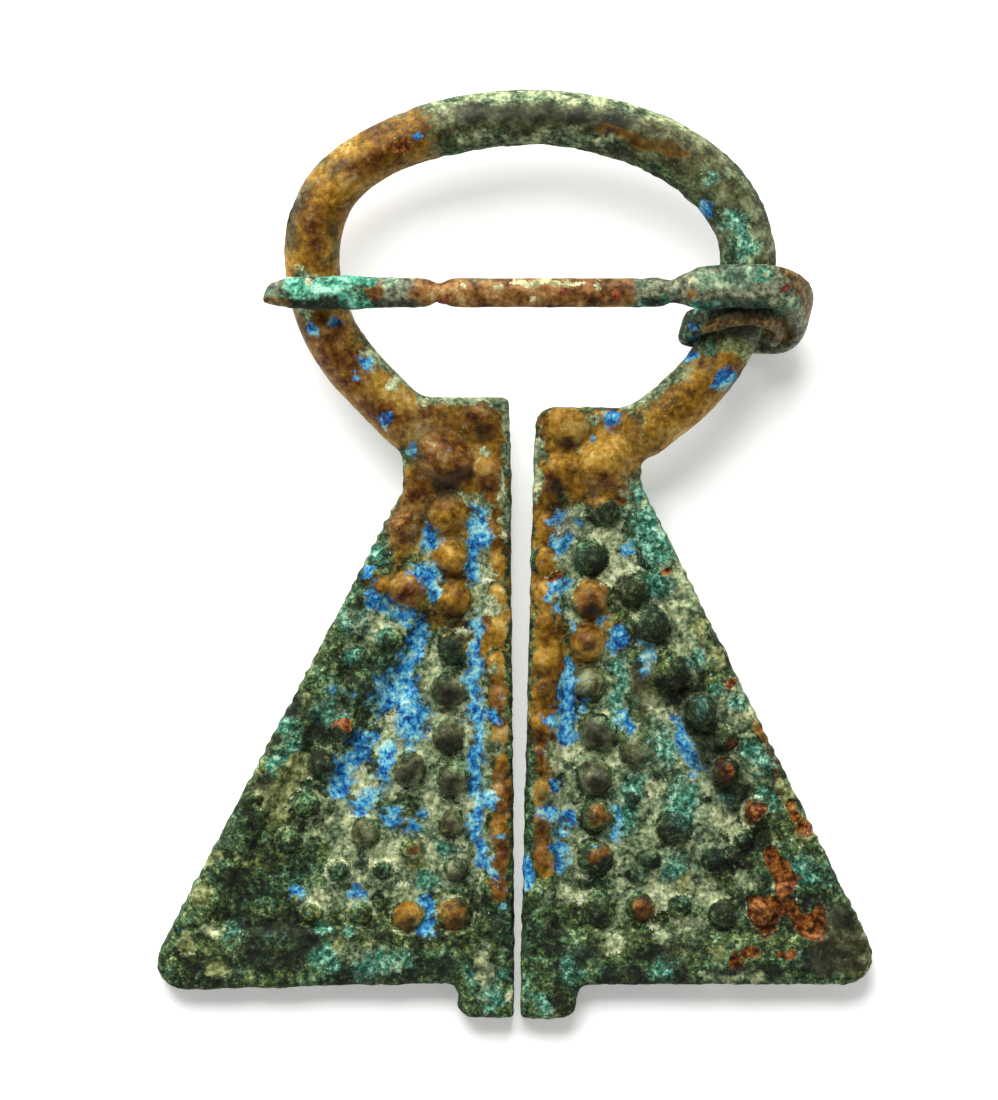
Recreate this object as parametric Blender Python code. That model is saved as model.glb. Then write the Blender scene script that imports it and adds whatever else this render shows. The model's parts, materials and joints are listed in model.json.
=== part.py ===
"""Penannular brooch of cast bronze, lying on its back with its face up.

An oval hoop of round rod and two triangular plates are one casting. A pin with a
coiled end turns on the rod. Everything is built in the brooch's own frame, with X to
the right, Y from the plates to the hoop and Z out of the face, and is then laid down
on the points that it comes to rest on.
"""

import math
from dataclasses import dataclass

import bmesh
import bpy
import numpy as np
from mathutils import Matrix, Vector

# Lengths are in millimetres and angles in degrees; MM turns lengths into metres
MM = 0.001

# Hoop: a round rod bent to a flat oval, measured to the middle of the rod
ROD_DIAMETER = 4.0
HOOP_HALF_WIDTH = 15.35
HOOP_RISE = 10.1
HOOP_OFFSET = 0.75
SHOULDER_BULGE = 0.64
SHOULDER_ANGLE = 146.0
SHOULDER_SPREAD = 22.0

# Plates: what both have in common, seen in the plate's own frame (down, out)
PLATE_THICKNESS = 1.9
FACE_HEIGHT = 0.3
HEAD_WIDTH = 7.6
OUTER_CORNER_RADIUS = 2.0
NECK_RADIUS = 1.5
TAB_WIDTH = 4.0
TAB_LENGTH = 2.5
TAB_CORNER_RADIUS = 1.2
TAB_FILLET = 0.9
EDGE_BEVEL = 0.45
BACK_EDGE = 0.25

# Sunk field inside a raised border
FIELD_DEPTH = 0.5
FIELD_SLOPE = 0.25
INNER_BORDER = 1.9
OUTER_BORDER = 1.9
BOTTOM_BORDER = 3.5
FIELD_TOP = 7.6
FIELD_CORNER_RADIUS = 0.8

# Relief: rows of pellets, a bead border and one slanting groove
PELLET_RADIUS = 1.3
PELLET_HEIGHT = 1.0
PELLET_PITCH = 3.15
SMALL_PELLET_SHARE = 0.86
COLUMN_INSET = 4.25
BOTTOM_ROW_INSET = 4.95
OUTER_ROW_INSET = 4.05
BEAD_RADIUS = 0.8
BEAD_HEIGHT = 0.45
BEAD_PITCH = 2.35
BEAD_INSET = 1.05
GROOVE_DEPTH = 0.45
SWELLING_HEIGHT = 0.5
BORDER_RELIEF_SINK = 0.1

# Pin: a bar with two waists, hammered into a band that is coiled round the rod
PIN_CLEARANCE = 0.3
COIL_CLEARANCE = 0.7
COIL_PLACE = 13.9
SHANK_LENGTH = 33.7
SHANK_LEVEL = -2.2
SHANK_WIDTH = 2.05
SHANK_THICKNESS = 1.75
SHANK_SQUARENESS = 0.85
SHANK_SWELLING = 0.35
SWELLING_PLACE = 4.4
SWELLING_SPREAD = 3.2
TIP_WIDTH = 0.95
TIP_TAPER = 2.4
TIP_SLANT = 0.7
BAND_WIDTH = 3.05
BAND_THICKNESS = 1.1
BAND_SQUARENESS = 0.7
BAND_START = 28.6
BAND_BLEND = 2.0
COIL_JOIN = 7.4

# Waists of the shank: distance from the tip, how deep, how long
WAISTS = ((11.95, 0.72, 0.65), (28.3, 0.42, 0.55))

# Coil of the pin's band: turn from the front, slack over the closest fit, place along
# the rod, and width and thickness as shares of the band's own
COIL_STATIONS = (
    (0.0, 0.66, -1.65, 1.00, 1.00),
    (25.0, 0.76, -2.05, 1.00, 1.00),
    (53.0, 0.90, -1.80, 0.98, 0.98),
    (90.0, 1.12, -0.65, 0.93, 0.95),
    (130.0, 1.15, 1.10, 0.90, 0.95),
    (180.0, 0.36, 1.95, 0.85, 0.95),
    (270.0, 0.10, 2.35, 0.75, 0.88),
    (320.0, 0.00, 1.35, 0.62, 0.80),
    (360.0, 0.00, 0.40, 0.52, 0.72),
    (395.0, 0.00, 0.15, 0.50, 0.70),
    (435.0, 0.00, 0.45, 0.48, 0.70),
    (475.0, 0.00, 1.50, 0.42, 0.64),
)

# Facets: counts, steps, the turn of a pellet per millimetre down the plate, the rings
# of a domed end as shares of its radius, and the smallest share of a fillet kept by an inset
ROD_SIDES = 16
ROD_STEP = 1.45
PIN_SIDES = 12
SHANK_STATIONS = 34
COIL_STEP = 13.0
ARC_STEPS = 5
PELLET_SIDES = 10
PELLET_RINGS = 6
BEAD_SIDES = 8
BEAD_RINGS = 4
GROOVE_STATIONS = 9
GROOVE_SIDES = 12
SHARP_ANGLE = 50.0
PELLET_TURN = 7.0
DOME_SHARES = (0.35, 0.7, 0.92)
LEAST_FILLET_SHARE = 0.1
TANGENT_STEP = 0.01


@dataclass(frozen=True)
class Plate:
    """What differs between the two plates; places are (down, out) in the plate's frame."""

    name: str
    side: int
    edge_x: float
    top_y: float
    turn: float
    length: float
    head_length: float
    flare: float
    bottom_drop: float
    arm_drop: float
    top_corner: float
    boss: tuple
    first_pellet: float
    outer_row_top: float
    outer_pitch: float
    bottom_pitch: float
    lower_row_inset: float
    groove_inset: float
    groove_width: float
    groove_from: float
    groove_to: float
    head_swellings: tuple
    panel_pellets: tuple


LEFT = Plate(
    name="left",
    side=-1,
    edge_x=-0.7,
    top_y=-9.7,
    turn=0.46,
    length=41.5,
    head_length=6.5,
    flare=0.54,
    bottom_drop=0.4,
    arm_drop=12.9,
    top_corner=0.6,
    boss=(4.6, 4.45),
    first_pellet=8.35,
    outer_row_top=13.75,
    outer_pitch=3.35,
    bottom_pitch=3.3,
    lower_row_inset=4.3,
    groove_inset=6.3,
    groove_width=2.3,
    groove_from=15.4,
    groove_to=29.0,
    head_swellings=((1.55, 1.9, 1.6), (5.9, 1.6, 1.05)),
    panel_pellets=(
        (26.3, 7.3, 1.38),
        (31.9, 7.1, 1.1),
        (30.8, 10.4, 1.2),
        (33.4, 9.1, 1.0),
        (33.5, 12.3, 1.0),
    ),
)

RIGHT = Plate(
    name="right",
    side=1,
    edge_x=1.1,
    top_y=-10.35,
    turn=-1.46,
    length=40.9,
    head_length=5.2,
    flare=0.53,
    bottom_drop=-0.6,
    arm_drop=13.8,
    top_corner=1.4,
    boss=(3.95, 4.75),
    first_pellet=7.35,
    outer_row_top=12.95,
    outer_pitch=3.4,
    bottom_pitch=2.9,
    lower_row_inset=3.0,
    groove_inset=4.4,
    groove_width=1.7,
    groove_from=19.8,
    groove_to=31.8,
    head_swellings=((1.6, 2.2, 1.35), (4.7, 1.7, 1.0)),
    panel_pellets=(
        (24.3, 7.8, 1.48),
        (27.9, 7.6, 0.7),
        (29.8, 10.5, 1.42),
        (32.1, 9.0, 0.95),
        (32.2, 13.3, 0.85),
    ),
)

ROD_RADIUS = ROD_DIAMETER / 2
BACK_HEIGHT = FACE_HEIGHT - PLATE_THICKNESS
FIELD_HEIGHT = FACE_HEIGHT - FIELD_DEPTH


def clear_scene():
    """Remove every object of the open scene."""
    for obj in list(bpy.data.objects):
        bpy.data.objects.remove(obj, do_unlink=True)


def make_material(name, colour, roughness, metallic):
    """Return a Principled material."""
    material = bpy.data.materials.new(name)
    material.use_nodes = True
    shader = material.node_tree.nodes["Principled BSDF"]
    shader.inputs["Base Color"].default_value = (*colour, 1.0)
    shader.inputs["Roughness"].default_value = roughness
    shader.inputs["Metallic"].default_value = metallic
    return material


def add_object(name, bm, material, parent=None):
    """Write a bmesh, built in millimetres, into a new smooth-shaded object."""
    bmesh.ops.scale(bm, vec=(MM, MM, MM), verts=bm.verts)
    bmesh.ops.recalc_face_normals(bm, faces=bm.faces)
    mesh = bpy.data.meshes.new(name)
    bm.to_mesh(mesh)
    bm.free()
    mesh.shade_smooth()
    mesh.set_sharp_from_angle(angle=math.radians(SHARP_ANGLE))
    mesh.materials.append(material)
    obj = bpy.data.objects.new(name, mesh)
    bpy.context.scene.collection.objects.link(obj)
    obj.parent = parent
    return obj


def add_empty(name, matrix, parent=None):
    """Add an empty with the given place and turn under its parent."""
    empty = bpy.data.objects.new(name, None)
    empty.empty_display_size = 5 * MM
    bpy.context.scene.collection.objects.link(empty)
    empty.parent = parent
    empty.matrix_local = matrix
    return empty


def make_helper(obj):
    """Keep an object as a shape for Booleans only."""
    obj.hide_render = True
    obj.display_type = "WIRE"
    return obj


def add_boolean(obj, operation, other):
    """Combine an object with a helper."""
    modifier = obj.modifiers.new(f"{operation.lower()} {other.name}", "BOOLEAN")
    modifier.operation = operation
    modifier.solver = "EXACT"
    modifier.use_self = True
    modifier.object = other


def bump(distance, spread):
    """Return a smooth bell of height 1 at distance 0."""
    return math.exp(-((distance / spread) ** 2))


def smooth_step(value):
    """Return 0 to 1 with level ends."""
    value = min(max(value, 0.0), 1.0)
    return value * value * (3.0 - 2.0 * value)


def sweep(rings):
    """Return a bmesh of rings joined in a row, closed by a flat face at each end."""
    bm = bmesh.new()
    loops = [[bm.verts.new(point) for point in ring] for ring in rings]
    for first, second in zip(loops, loops[1:]):
        for index, vert in enumerate(first):
            after = (index + 1) % len(first)
            bm.faces.new((vert, first[after], second[after], second[index]))
    bm.faces.new(loops[0])
    bm.faces.new(reversed(loops[-1]))
    return bm


def ring_at(centre, along, out, half_width, half_height, sides, squareness=1.0):
    """Return the points of one cross-section, flattened towards a box by squareness."""
    along = along.normalized()
    across = along.cross(out).normalized()
    out = across.cross(along)
    points = []
    for step in range(sides):
        angle = 2 * math.pi * (step + 0.5) / sides
        x, y = math.cos(angle), math.sin(angle)
        x = math.copysign(abs(x) ** squareness, x)
        y = math.copysign(abs(y) ** squareness, y)
        points.append(centre + across * (half_width * x) + out * (half_height * y))
    return points


def plate_place(plate):
    """Return the matrix from the plate's frame to the brooch's, in millimetres."""
    place = Matrix.Translation((plate.edge_x, plate.top_y, 0.0))
    return place @ Matrix.Rotation(math.radians(plate.turn), 4, "Z")


def on_plate(plate, down, out, height=0.0):
    """Return a point given down and out from the inner top corner of a plate."""
    return Vector((plate.side * out, -down, height))


def rounded_outline(corners, inset):
    """Return the points of an outline of (down, out, radius) corners, moved inwards by inset.

    The corners run round the outline so that its inside is on the left hand of
    (down, out). Each corner gives the same number of points at every inset.
    """
    points = []
    count = len(corners)
    for index, (down, out, radius) in enumerate(corners):
        here = Vector((down, out))
        before = (here - Vector(corners[index - 1][:2])).normalized()
        after = (Vector(corners[(index + 1) % count][:2]) - here).normalized()
        turn = before.cross(after)
        inner = Vector((-before.y, before.x)) + Vector((-after.y, after.x))
        share = 1.0 + before.dot(after)
        middle = here + inner * (inset / share)
        if turn > 0:
            fillet = max(radius - inset, radius * LEAST_FILLET_SHARE)
        else:
            fillet = radius + inset
        half = math.atan2(abs(turn), share)
        reach = fillet * math.tan(half)
        start = middle - before * reach
        side = math.copysign(1.0, turn)
        centre = start + Vector((-before.y, before.x)) * (side * fillet)
        arm = start - centre
        for step in range(ARC_STEPS + 1):
            angle = side * 2 * half * step / ARC_STEPS
            turned = Matrix.Rotation(angle, 2) @ arm
            points.append(centre + turned)
    return points


def layered_solid(plate, corners, layers):
    """Return a bmesh through one outline at several (height, inset) layers."""
    rings = []
    for height, inset in layers:
        outline = rounded_outline(corners, inset)
        rings.append([on_plate(plate, point.x, point.y, height) for point in outline])
    return sweep(rings)


def outer_edge(plate, down):
    """Return how far out the slanting outer edge lies, at a distance down the plate."""
    return HEAD_WIDTH + plate.flare * (down - plate.head_length)


def slanted(plate, down, inset):
    """Return how far out a line lies that runs inset from the slanting edge."""
    return outer_edge(plate, down) - inset * math.hypot(1.0, plate.flare)


def plate_corners(plate):
    """Return the outline of a plate: head, slanting outer edge, bottom edge and tab."""
    corner = plate.length + plate.bottom_drop
    return (
        (0.0, 0.0, plate.top_corner),
        (plate.length + TAB_LENGTH, 0.0, EDGE_BEVEL),
        (plate.length + TAB_LENGTH, TAB_WIDTH, TAB_CORNER_RADIUS),
        (plate.length, TAB_WIDTH, TAB_FILLET),
        (corner, outer_edge(plate, corner), OUTER_CORNER_RADIUS),
        (plate.head_length, HEAD_WIDTH, NECK_RADIUS),
        (0.0, HEAD_WIDTH, TAB_FILLET),
    )


def field_corners(plate):
    """Return the outline of the sunk field."""
    bottom = plate.length - BOTTOM_BORDER
    return (
        (FIELD_TOP, INNER_BORDER, FIELD_CORNER_RADIUS),
        (bottom, INNER_BORDER, FIELD_CORNER_RADIUS),
        (bottom, slanted(plate, bottom, OUTER_BORDER), FIELD_CORNER_RADIUS),
        (FIELD_TOP, slanted(plate, FIELD_TOP, OUTER_BORDER), FIELD_CORNER_RADIUS),
    )


def pellet_places(plate):
    """Return (down, out, radius) of every pellet in the field."""
    bottom_row = plate.length - BOTTOM_ROW_INSET
    places = []
    steps = round((bottom_row - plate.first_pellet) / PELLET_PITCH)
    for step in range(steps + 1):
        down = plate.first_pellet + (bottom_row - plate.first_pellet) * step / steps
        share = 1.0 if step < steps - 1 else SMALL_PELLET_SHARE
        places.append((down, COLUMN_INSET, PELLET_RADIUS * share))
    pitch = plate.outer_pitch / math.hypot(1.0, plate.flare)
    steps = int((bottom_row - pitch - plate.outer_row_top) / pitch)
    for step in range(steps + 1):
        down = plate.outer_row_top + step * pitch
        below = smooth_step((down - plate.groove_from) / PELLET_PITCH)
        inset = OUTER_ROW_INSET + (plate.lower_row_inset - OUTER_ROW_INSET) * below
        radius = PELLET_RADIUS * (1.0 + (SMALL_PELLET_SHARE - 1.0) * below)
        places.append((down, slanted(plate, down, inset), radius))
    row_room = slanted(plate, bottom_row, OUTER_BORDER) - COLUMN_INSET - PELLET_RADIUS
    for step in range(1, int(row_room / plate.bottom_pitch) + 1):
        out = COLUMN_INSET + step * plate.bottom_pitch
        places.append((bottom_row, out, PELLET_RADIUS * SMALL_PELLET_SHARE))
    places.extend(plate.panel_pellets)
    return places


def bead_places(plate):
    """Return (down, out, radius) of the beads along the inner edge."""
    first = plate.first_pellet - BEAD_PITCH / 2
    last = plate.length - BOTTOM_BORDER
    count = int((last - first) / BEAD_PITCH) + 1
    return [(first + step * BEAD_PITCH, BEAD_INSET, BEAD_RADIUS) for step in range(count)]


def add_domes(bm, plate, places, base, height, sides, rings):
    """Add a flattened ball for each place, standing height above base."""
    for down, out, radius in places:
        centre = on_plate(plate, down, out, base)
        size = Matrix.Diagonal((radius, radius, height, 1.0))
        turn = Matrix.Rotation(math.radians(down * PELLET_TURN), 4, "Z")
        matrix = Matrix.Translation(centre) @ turn @ size
        bmesh.ops.create_uvsphere(bm, u_segments=sides, v_segments=rings, radius=1.0, matrix=matrix)


def build_relief(plate, material, parent):
    """Return the helper that holds all raised relief of a plate."""
    bm = bmesh.new()
    add_domes(bm, plate, pellet_places(plate), FIELD_HEIGHT, PELLET_HEIGHT, PELLET_SIDES, PELLET_RINGS)
    base = FACE_HEIGHT - BORDER_RELIEF_SINK
    add_domes(bm, plate, bead_places(plate), base, BEAD_HEIGHT, BEAD_SIDES, BEAD_RINGS)
    add_domes(bm, plate, plate.head_swellings, base, SWELLING_HEIGHT, PELLET_SIDES, PELLET_RINGS)
    return make_helper(add_object(f"{plate.name}_relief", bm, material, parent))


def build_groove(plate, material, parent):
    """Return the helper that sinks a slanting groove beside the outer row of pellets."""
    radius = plate.groove_width / 2
    start = on_plate(plate, plate.groove_from, slanted(plate, plate.groove_from, plate.groove_inset))
    end = on_plate(plate, plate.groove_to, slanted(plate, plate.groove_to, plate.groove_inset))
    up = Vector((0.0, 0.0, 1.0))
    rings = []
    for step in range(GROOVE_STATIONS):
        share = (step + 0.5) / GROOVE_STATIONS
        taper = math.sqrt(1.0 - (2.0 * share - 1.0) ** 2)
        centre = start.lerp(end, share)
        centre.z = FIELD_HEIGHT
        ring = ring_at(centre, end - start, up, radius * taper, GROOVE_DEPTH * taper, GROOVE_SIDES)
        rings.append(ring)
    return make_helper(add_object(f"{plate.name}_groove", sweep(rings), material, parent))


def build_plate(plate, material, parent):
    """Return the helper of one whole plate."""
    holder = add_empty(f"{plate.name}_plate_place", scaled(plate_place(plate)), parent)
    slab_layers = (
        (BACK_HEIGHT, BACK_EDGE),
        (BACK_HEIGHT + BACK_EDGE, 0.0),
        (FACE_HEIGHT - EDGE_BEVEL, 0.0),
        (FACE_HEIGHT, EDGE_BEVEL),
    )
    slab = layered_solid(plate, plate_corners(plate), slab_layers)
    field_layers = (
        (FIELD_HEIGHT, FIELD_SLOPE),
        (FACE_HEIGHT, 0.0),
        (FACE_HEIGHT + FIELD_DEPTH, 0.0),
    )
    field = layered_solid(plate, field_corners(plate), field_layers)
    body = make_helper(add_object(f"{plate.name}_plate", slab, material, holder))
    cutter = make_helper(add_object(f"{plate.name}_field", field, material, holder))
    add_boolean(body, "DIFFERENCE", cutter)
    add_boolean(body, "DIFFERENCE", build_groove(plate, material, holder))
    add_boolean(body, "UNION", build_relief(plate, material, holder))
    return body


def scaled(matrix):
    """Return a matrix given in millimetres with its place in metres."""
    result = matrix.copy()
    result.translation = matrix.translation * MM
    return result


def hoop_point(angle, drop):
    """Return the rod's middle on the oval, at an ellipse angle counted from the right."""
    turn = math.radians(angle)
    rise = HOOP_RISE if math.sin(turn) > 0 else drop
    swell = 1.0 + SHOULDER_BULGE / HOOP_HALF_WIDTH * bump(angle - SHOULDER_ANGLE, SHOULDER_SPREAD)
    x = HOOP_HALF_WIDTH * math.cos(turn) * swell
    y = rise * math.sin(turn) * swell
    return Vector((HOOP_OFFSET + x, y, 0.0))


def arm_angle(plate, boss):
    """Return the ellipse angle at which the straight line from the boss touches the oval."""
    x = (boss.x - HOOP_OFFSET) / HOOP_HALF_WIDTH
    y = boss.y / plate.arm_drop
    middle = math.atan2(y, x)
    reach = math.acos(1.0 / math.hypot(x, y))
    return math.degrees(middle + plate.side * reach)


def hoop_route():
    """Return the rod's middle from the left plate's boss to the right one's."""
    ends = {}
    for plate in (LEFT, RIGHT):
        boss = plate_place(plate) @ on_plate(plate, *plate.boss)
        ends[plate.side] = (boss, arm_angle(plate, boss))
    left_boss, left_angle = ends[-1]
    right_boss, right_angle = ends[1]
    angles = np.arange(left_angle % 360.0, right_angle, -1.0)
    route = [left_boss]
    route += [hoop_point(angle, (LEFT if angle > 90 else RIGHT).arm_drop) for angle in angles]
    route.append(right_boss)
    return even_points(route, ROD_STEP)


def even_points(route, step):
    """Return points at about even steps along a route."""
    points = np.array(route)
    lengths = np.concatenate([[0.0], np.cumsum(np.linalg.norm(np.diff(points, axis=0), axis=1))])
    places = np.linspace(0.0, lengths[-1], max(int(lengths[-1] / step), 2) + 1)
    columns = [np.interp(places, lengths, points[:, axis]) for axis in range(3)]
    return [Vector(point) for point in np.stack(columns, axis=1)]


def build_hoop(name, material, parent):
    """Return the rod of the hoop, with a rounded end in each plate's head."""
    route = hoop_route()
    up = Vector((0.0, 0.0, 1.0))
    rings = []
    first = route[1] - route[0]
    last = route[-1] - route[-2]
    for share in DOME_SHARES:
        centre = route[0] - first.normalized() * (ROD_RADIUS * math.sqrt(1.0 - share**2))
        rings.append(ring_at(centre, first, up, ROD_RADIUS * share, ROD_RADIUS * share, ROD_SIDES))
    for index, centre in enumerate(route):
        along = route[min(index + 1, len(route) - 1)] - route[max(index - 1, 0)]
        rings.append(ring_at(centre, along, up, ROD_RADIUS, ROD_RADIUS, ROD_SIDES))
    for share in reversed(DOME_SHARES):
        centre = route[-1] + last.normalized() * (ROD_RADIUS * math.sqrt(1.0 - share**2))
        rings.append(ring_at(centre, last, up, ROD_RADIUS * share, ROD_RADIUS * share, ROD_SIDES))
    return add_object(name, sweep(rings), material, parent)


def hinge_matrix():
    """Return the frame that the pin turns in, in millimetres.

    X points out of the hoop, Y out of the face and Z down along the rod. The
    pin's coil is centred on it.
    """
    turn = math.radians(-COIL_PLACE)
    centre = hoop_point(-COIL_PLACE, RIGHT.arm_drop)
    along = Vector((HOOP_HALF_WIDTH * math.sin(turn), -RIGHT.arm_drop * math.cos(turn), 0.0)).normalized()
    front = Vector((0.0, 0.0, 1.0))
    out = front.cross(along)
    matrix = Matrix((out, front, along)).transposed().to_4x4()
    matrix.translation = centre
    return matrix


def coil_values(angle):
    """Return slack, place along the rod, width and thickness of the band at one turn."""
    table = np.array(COIL_STATIONS)
    slopes = np.gradient(table[:, 1:], table[:, 0], axis=0)
    index = int(np.clip(np.searchsorted(table[:, 0], angle) - 1, 0, len(table) - 2))
    span = table[index + 1, 0] - table[index, 0]
    t = (angle - table[index, 0]) / span
    start, end = table[index, 1:], table[index + 1, 1:]
    curve = (2 * t**3 - 3 * t**2 + 1) * start + (3 * t**2 - 2 * t**3) * end
    curve += ((t**3 - 2 * t**2 + t) * slopes[index] + (t**3 - t**2) * slopes[index + 1]) * span
    slack, place, width, thickness = curve
    return slack, place, width * BAND_WIDTH, thickness * BAND_THICKNESS


def coil_point(angle):
    """Return the middle of the band at one turn from the front, in the hinge's frame."""
    slack, place, _, thickness = coil_values(angle)
    radius = ROD_RADIUS + COIL_CLEARANCE + thickness / 2 + slack
    turn = math.radians(angle)
    return Vector((radius * math.sin(turn), radius * math.cos(turn), place))


def shank_size(distance):
    """Return width and thickness of the shank at a distance from its tip."""
    band = smooth_step((distance - BAND_START) / BAND_BLEND)
    width = SHANK_WIDTH + SHANK_SWELLING * bump(distance - SWELLING_PLACE, SWELLING_SPREAD)
    thickness = SHANK_THICKNESS
    for place, depth, spread in WAISTS:
        cut = depth * bump(distance - place, spread)
        width -= cut
        thickness -= cut / 2
    tip = TIP_WIDTH / SHANK_WIDTH
    taper = tip + (1.0 - tip) * math.sqrt(smooth_step(distance / TIP_TAPER))
    width *= taper
    thickness *= taper
    return width + (BAND_WIDTH - width) * band, thickness + (BAND_THICKNESS - thickness) * band


def shank_route(hinge):
    """Return a function from the distance from the tip to the shank's middle, in the brooch's frame."""
    joint = hinge @ coil_point(0.0)
    joint_way = (hinge.to_3x3() @ (coil_point(1.0) - coil_point(0.0))).normalized()
    tip_x = joint.x - SHANK_LENGTH
    rod_x = hoop_point(180.0, LEFT.arm_drop).x
    over_rod = shank_size(rod_x - tip_x)[1] / 2 + ROD_RADIUS + PIN_CLEARANCE
    slope = (joint.z - over_rod) / (joint.x - rod_x)
    straight = SHANK_LENGTH - COIL_JOIN

    def route(distance):
        x = tip_x + min(distance, straight)
        start = Vector((x, SHANK_LEVEL, over_rod + (x - rod_x) * slope))
        if distance <= straight:
            return start
        t = (distance - straight) / COIL_JOIN
        curve = start * (2 * t**3 - 3 * t**2 + 1) + joint * (3 * t**2 - 2 * t**3)
        start_way = Vector((1.0, 0.0, slope)) * COIL_JOIN
        return curve + start_way * (t**3 - 2 * t**2 + t) + joint_way * COIL_JOIN * (t**3 - t**2)

    return route


def build_pin(material, parent, hinge):
    """Return the pin, in the hinge's frame, with the hinge's empty as its parent."""
    route = shank_route(hinge)
    to_hinge = hinge.inverted()
    front = Vector((0.0, 1.0, 0.0))
    rings = []
    for distance in np.linspace(0.0, SHANK_LENGTH, SHANK_STATIONS, endpoint=False):
        centre = to_hinge @ route(distance)
        along = to_hinge.to_3x3() @ (route(distance + TANGENT_STEP) - route(distance))
        width, thickness = shank_size(distance)
        ring = ring_at(centre, along, front, width / 2, thickness / 2, PIN_SIDES, SHANK_SQUARENESS)
        if not rings:
            ring = [point + along.normalized() * (centre.z - point.z) * TIP_SLANT for point in ring]
        rings.append(ring)
    last = COIL_STATIONS[-1][0]
    for angle in np.linspace(0.0, last, round(last / COIL_STEP) + 1):
        centre = coil_point(angle)
        ahead = min(angle + TANGENT_STEP, last)
        along = coil_point(ahead) - coil_point(ahead - TANGENT_STEP)
        out = Vector((math.sin(math.radians(angle)), math.cos(math.radians(angle)), 0.0))
        _, _, width, thickness = coil_values(angle)
        rings.append(ring_at(centre, along, out, width / 2, thickness / 2, PIN_SIDES, BAND_SQUARENESS))
    return add_object("pin", sweep(rings), material, parent)


def world_triangles(objects):
    """Return all corners of the objects' triangles, as an array of shape (count, 3, 3)."""
    bpy.context.view_layer.update()
    graph = bpy.context.evaluated_depsgraph_get()
    found = []
    for obj in objects:
        evaluated = obj.evaluated_get(graph)
        mesh = evaluated.to_mesh()
        mesh.calc_loop_triangles()
        points = np.array([evaluated.matrix_world @ vert.co for vert in mesh.vertices])
        faces = np.array([triangle.vertices[:] for triangle in mesh.loop_triangles])
        found.append(points[faces])
        evaluated.to_mesh_clear()
    return np.concatenate(found)


def centre_of_mass(triangles):
    """Return the centre of the solids that the triangles close in."""
    volumes = np.linalg.det(triangles)
    centres = triangles.sum(axis=1) / 4
    return Vector((centres * volumes[:, None]).sum(axis=0) / volumes.sum())


def resting_normal(triangles):
    """Return the outward normal of the hull's face that the object comes to rest on.

    It is the face that the centre of mass stands over, and of those the one that
    looks most nearly backwards.
    """
    centre = centre_of_mass(triangles)
    bm = bmesh.new()
    for point in triangles.reshape(-1, 3):
        bm.verts.new(point)
    bmesh.ops.remove_doubles(bm, verts=bm.verts, dist=0.01 * MM)
    bmesh.ops.convex_hull(bm, input=bm.verts)
    best = None
    for face in bm.faces:
        corners = [vert.co for vert in face.verts]
        normal = (corners[1] - corners[0]).cross(corners[2] - corners[0])
        if normal.dot(corners[0] - centre) < 0:
            normal.negate()
            corners.reverse()
        pairs = zip(corners, corners[1:] + corners[:1])
        under = all((b - a).cross(centre - a).dot(normal) >= 0 for a, b in pairs)
        normal.normalize()
        if under and (best is None or normal.z < best.z):
            best = normal
    bm.free()
    return best


def lay_down(root, objects):
    """Turn the brooch onto its resting face, with the middle of its box over the origin."""
    normal = resting_normal(world_triangles(objects))
    root.matrix_local = normal.rotation_difference(Vector((0.0, 0.0, -1.0))).to_matrix().to_4x4()
    points = world_triangles(objects).reshape(-1, 3)
    low, high = points.min(axis=0), points.max(axis=0)
    middle = (low + high) / 2
    root.location = (-middle[0], -middle[1], -low[2])


def main():
    """Build the brooch and lay it down."""
    clear_scene()
    cast_bronze = make_material("cast_bronze", (0.16, 0.15, 0.07), 0.55, 0.6)
    pin_bronze = make_material("pin_bronze", (0.20, 0.13, 0.08), 0.5, 0.6)
    root = add_empty("brooch", Matrix.Identity(4))
    body = build_hoop("hoop_and_plates", cast_bronze, root)
    for plate in (LEFT, RIGHT):
        add_boolean(body, "UNION", build_plate(plate, cast_bronze, root))
    hinge = hinge_matrix()
    hinge_empty = add_empty("pin_hinge", scaled(hinge), root)
    pin = build_pin(pin_bronze, hinge_empty, hinge)
    lay_down(root, (body, pin))
    bpy.context.view_layer.update()


main()
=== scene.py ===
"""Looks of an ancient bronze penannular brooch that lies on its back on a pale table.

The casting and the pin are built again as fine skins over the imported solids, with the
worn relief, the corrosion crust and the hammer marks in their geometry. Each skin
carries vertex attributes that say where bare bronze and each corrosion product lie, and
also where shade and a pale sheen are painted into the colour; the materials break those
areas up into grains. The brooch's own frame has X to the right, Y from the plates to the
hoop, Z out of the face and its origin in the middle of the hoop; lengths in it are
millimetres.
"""

import itertools
import json
import logging
import math
from dataclasses import dataclass
from enum import Enum, IntEnum

import bpy
import numpy as np
from mathutils import Matrix, Vector


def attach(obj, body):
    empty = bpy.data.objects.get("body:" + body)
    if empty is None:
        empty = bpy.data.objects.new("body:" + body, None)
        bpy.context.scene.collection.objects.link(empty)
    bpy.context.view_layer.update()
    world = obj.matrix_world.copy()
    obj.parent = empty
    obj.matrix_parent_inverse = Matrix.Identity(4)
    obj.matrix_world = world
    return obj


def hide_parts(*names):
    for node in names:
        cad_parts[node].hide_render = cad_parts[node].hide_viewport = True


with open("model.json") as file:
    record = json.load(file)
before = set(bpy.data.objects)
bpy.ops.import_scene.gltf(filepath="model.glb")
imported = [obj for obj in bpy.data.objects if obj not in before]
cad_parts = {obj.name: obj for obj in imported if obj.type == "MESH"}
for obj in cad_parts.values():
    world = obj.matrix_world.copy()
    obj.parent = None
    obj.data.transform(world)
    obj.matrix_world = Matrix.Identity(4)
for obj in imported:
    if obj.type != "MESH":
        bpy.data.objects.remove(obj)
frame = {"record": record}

MM = 0.001
FACING = np.array((0.0, 0.0, 1.0))
LOG = logging.getLogger("brooch")

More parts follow.
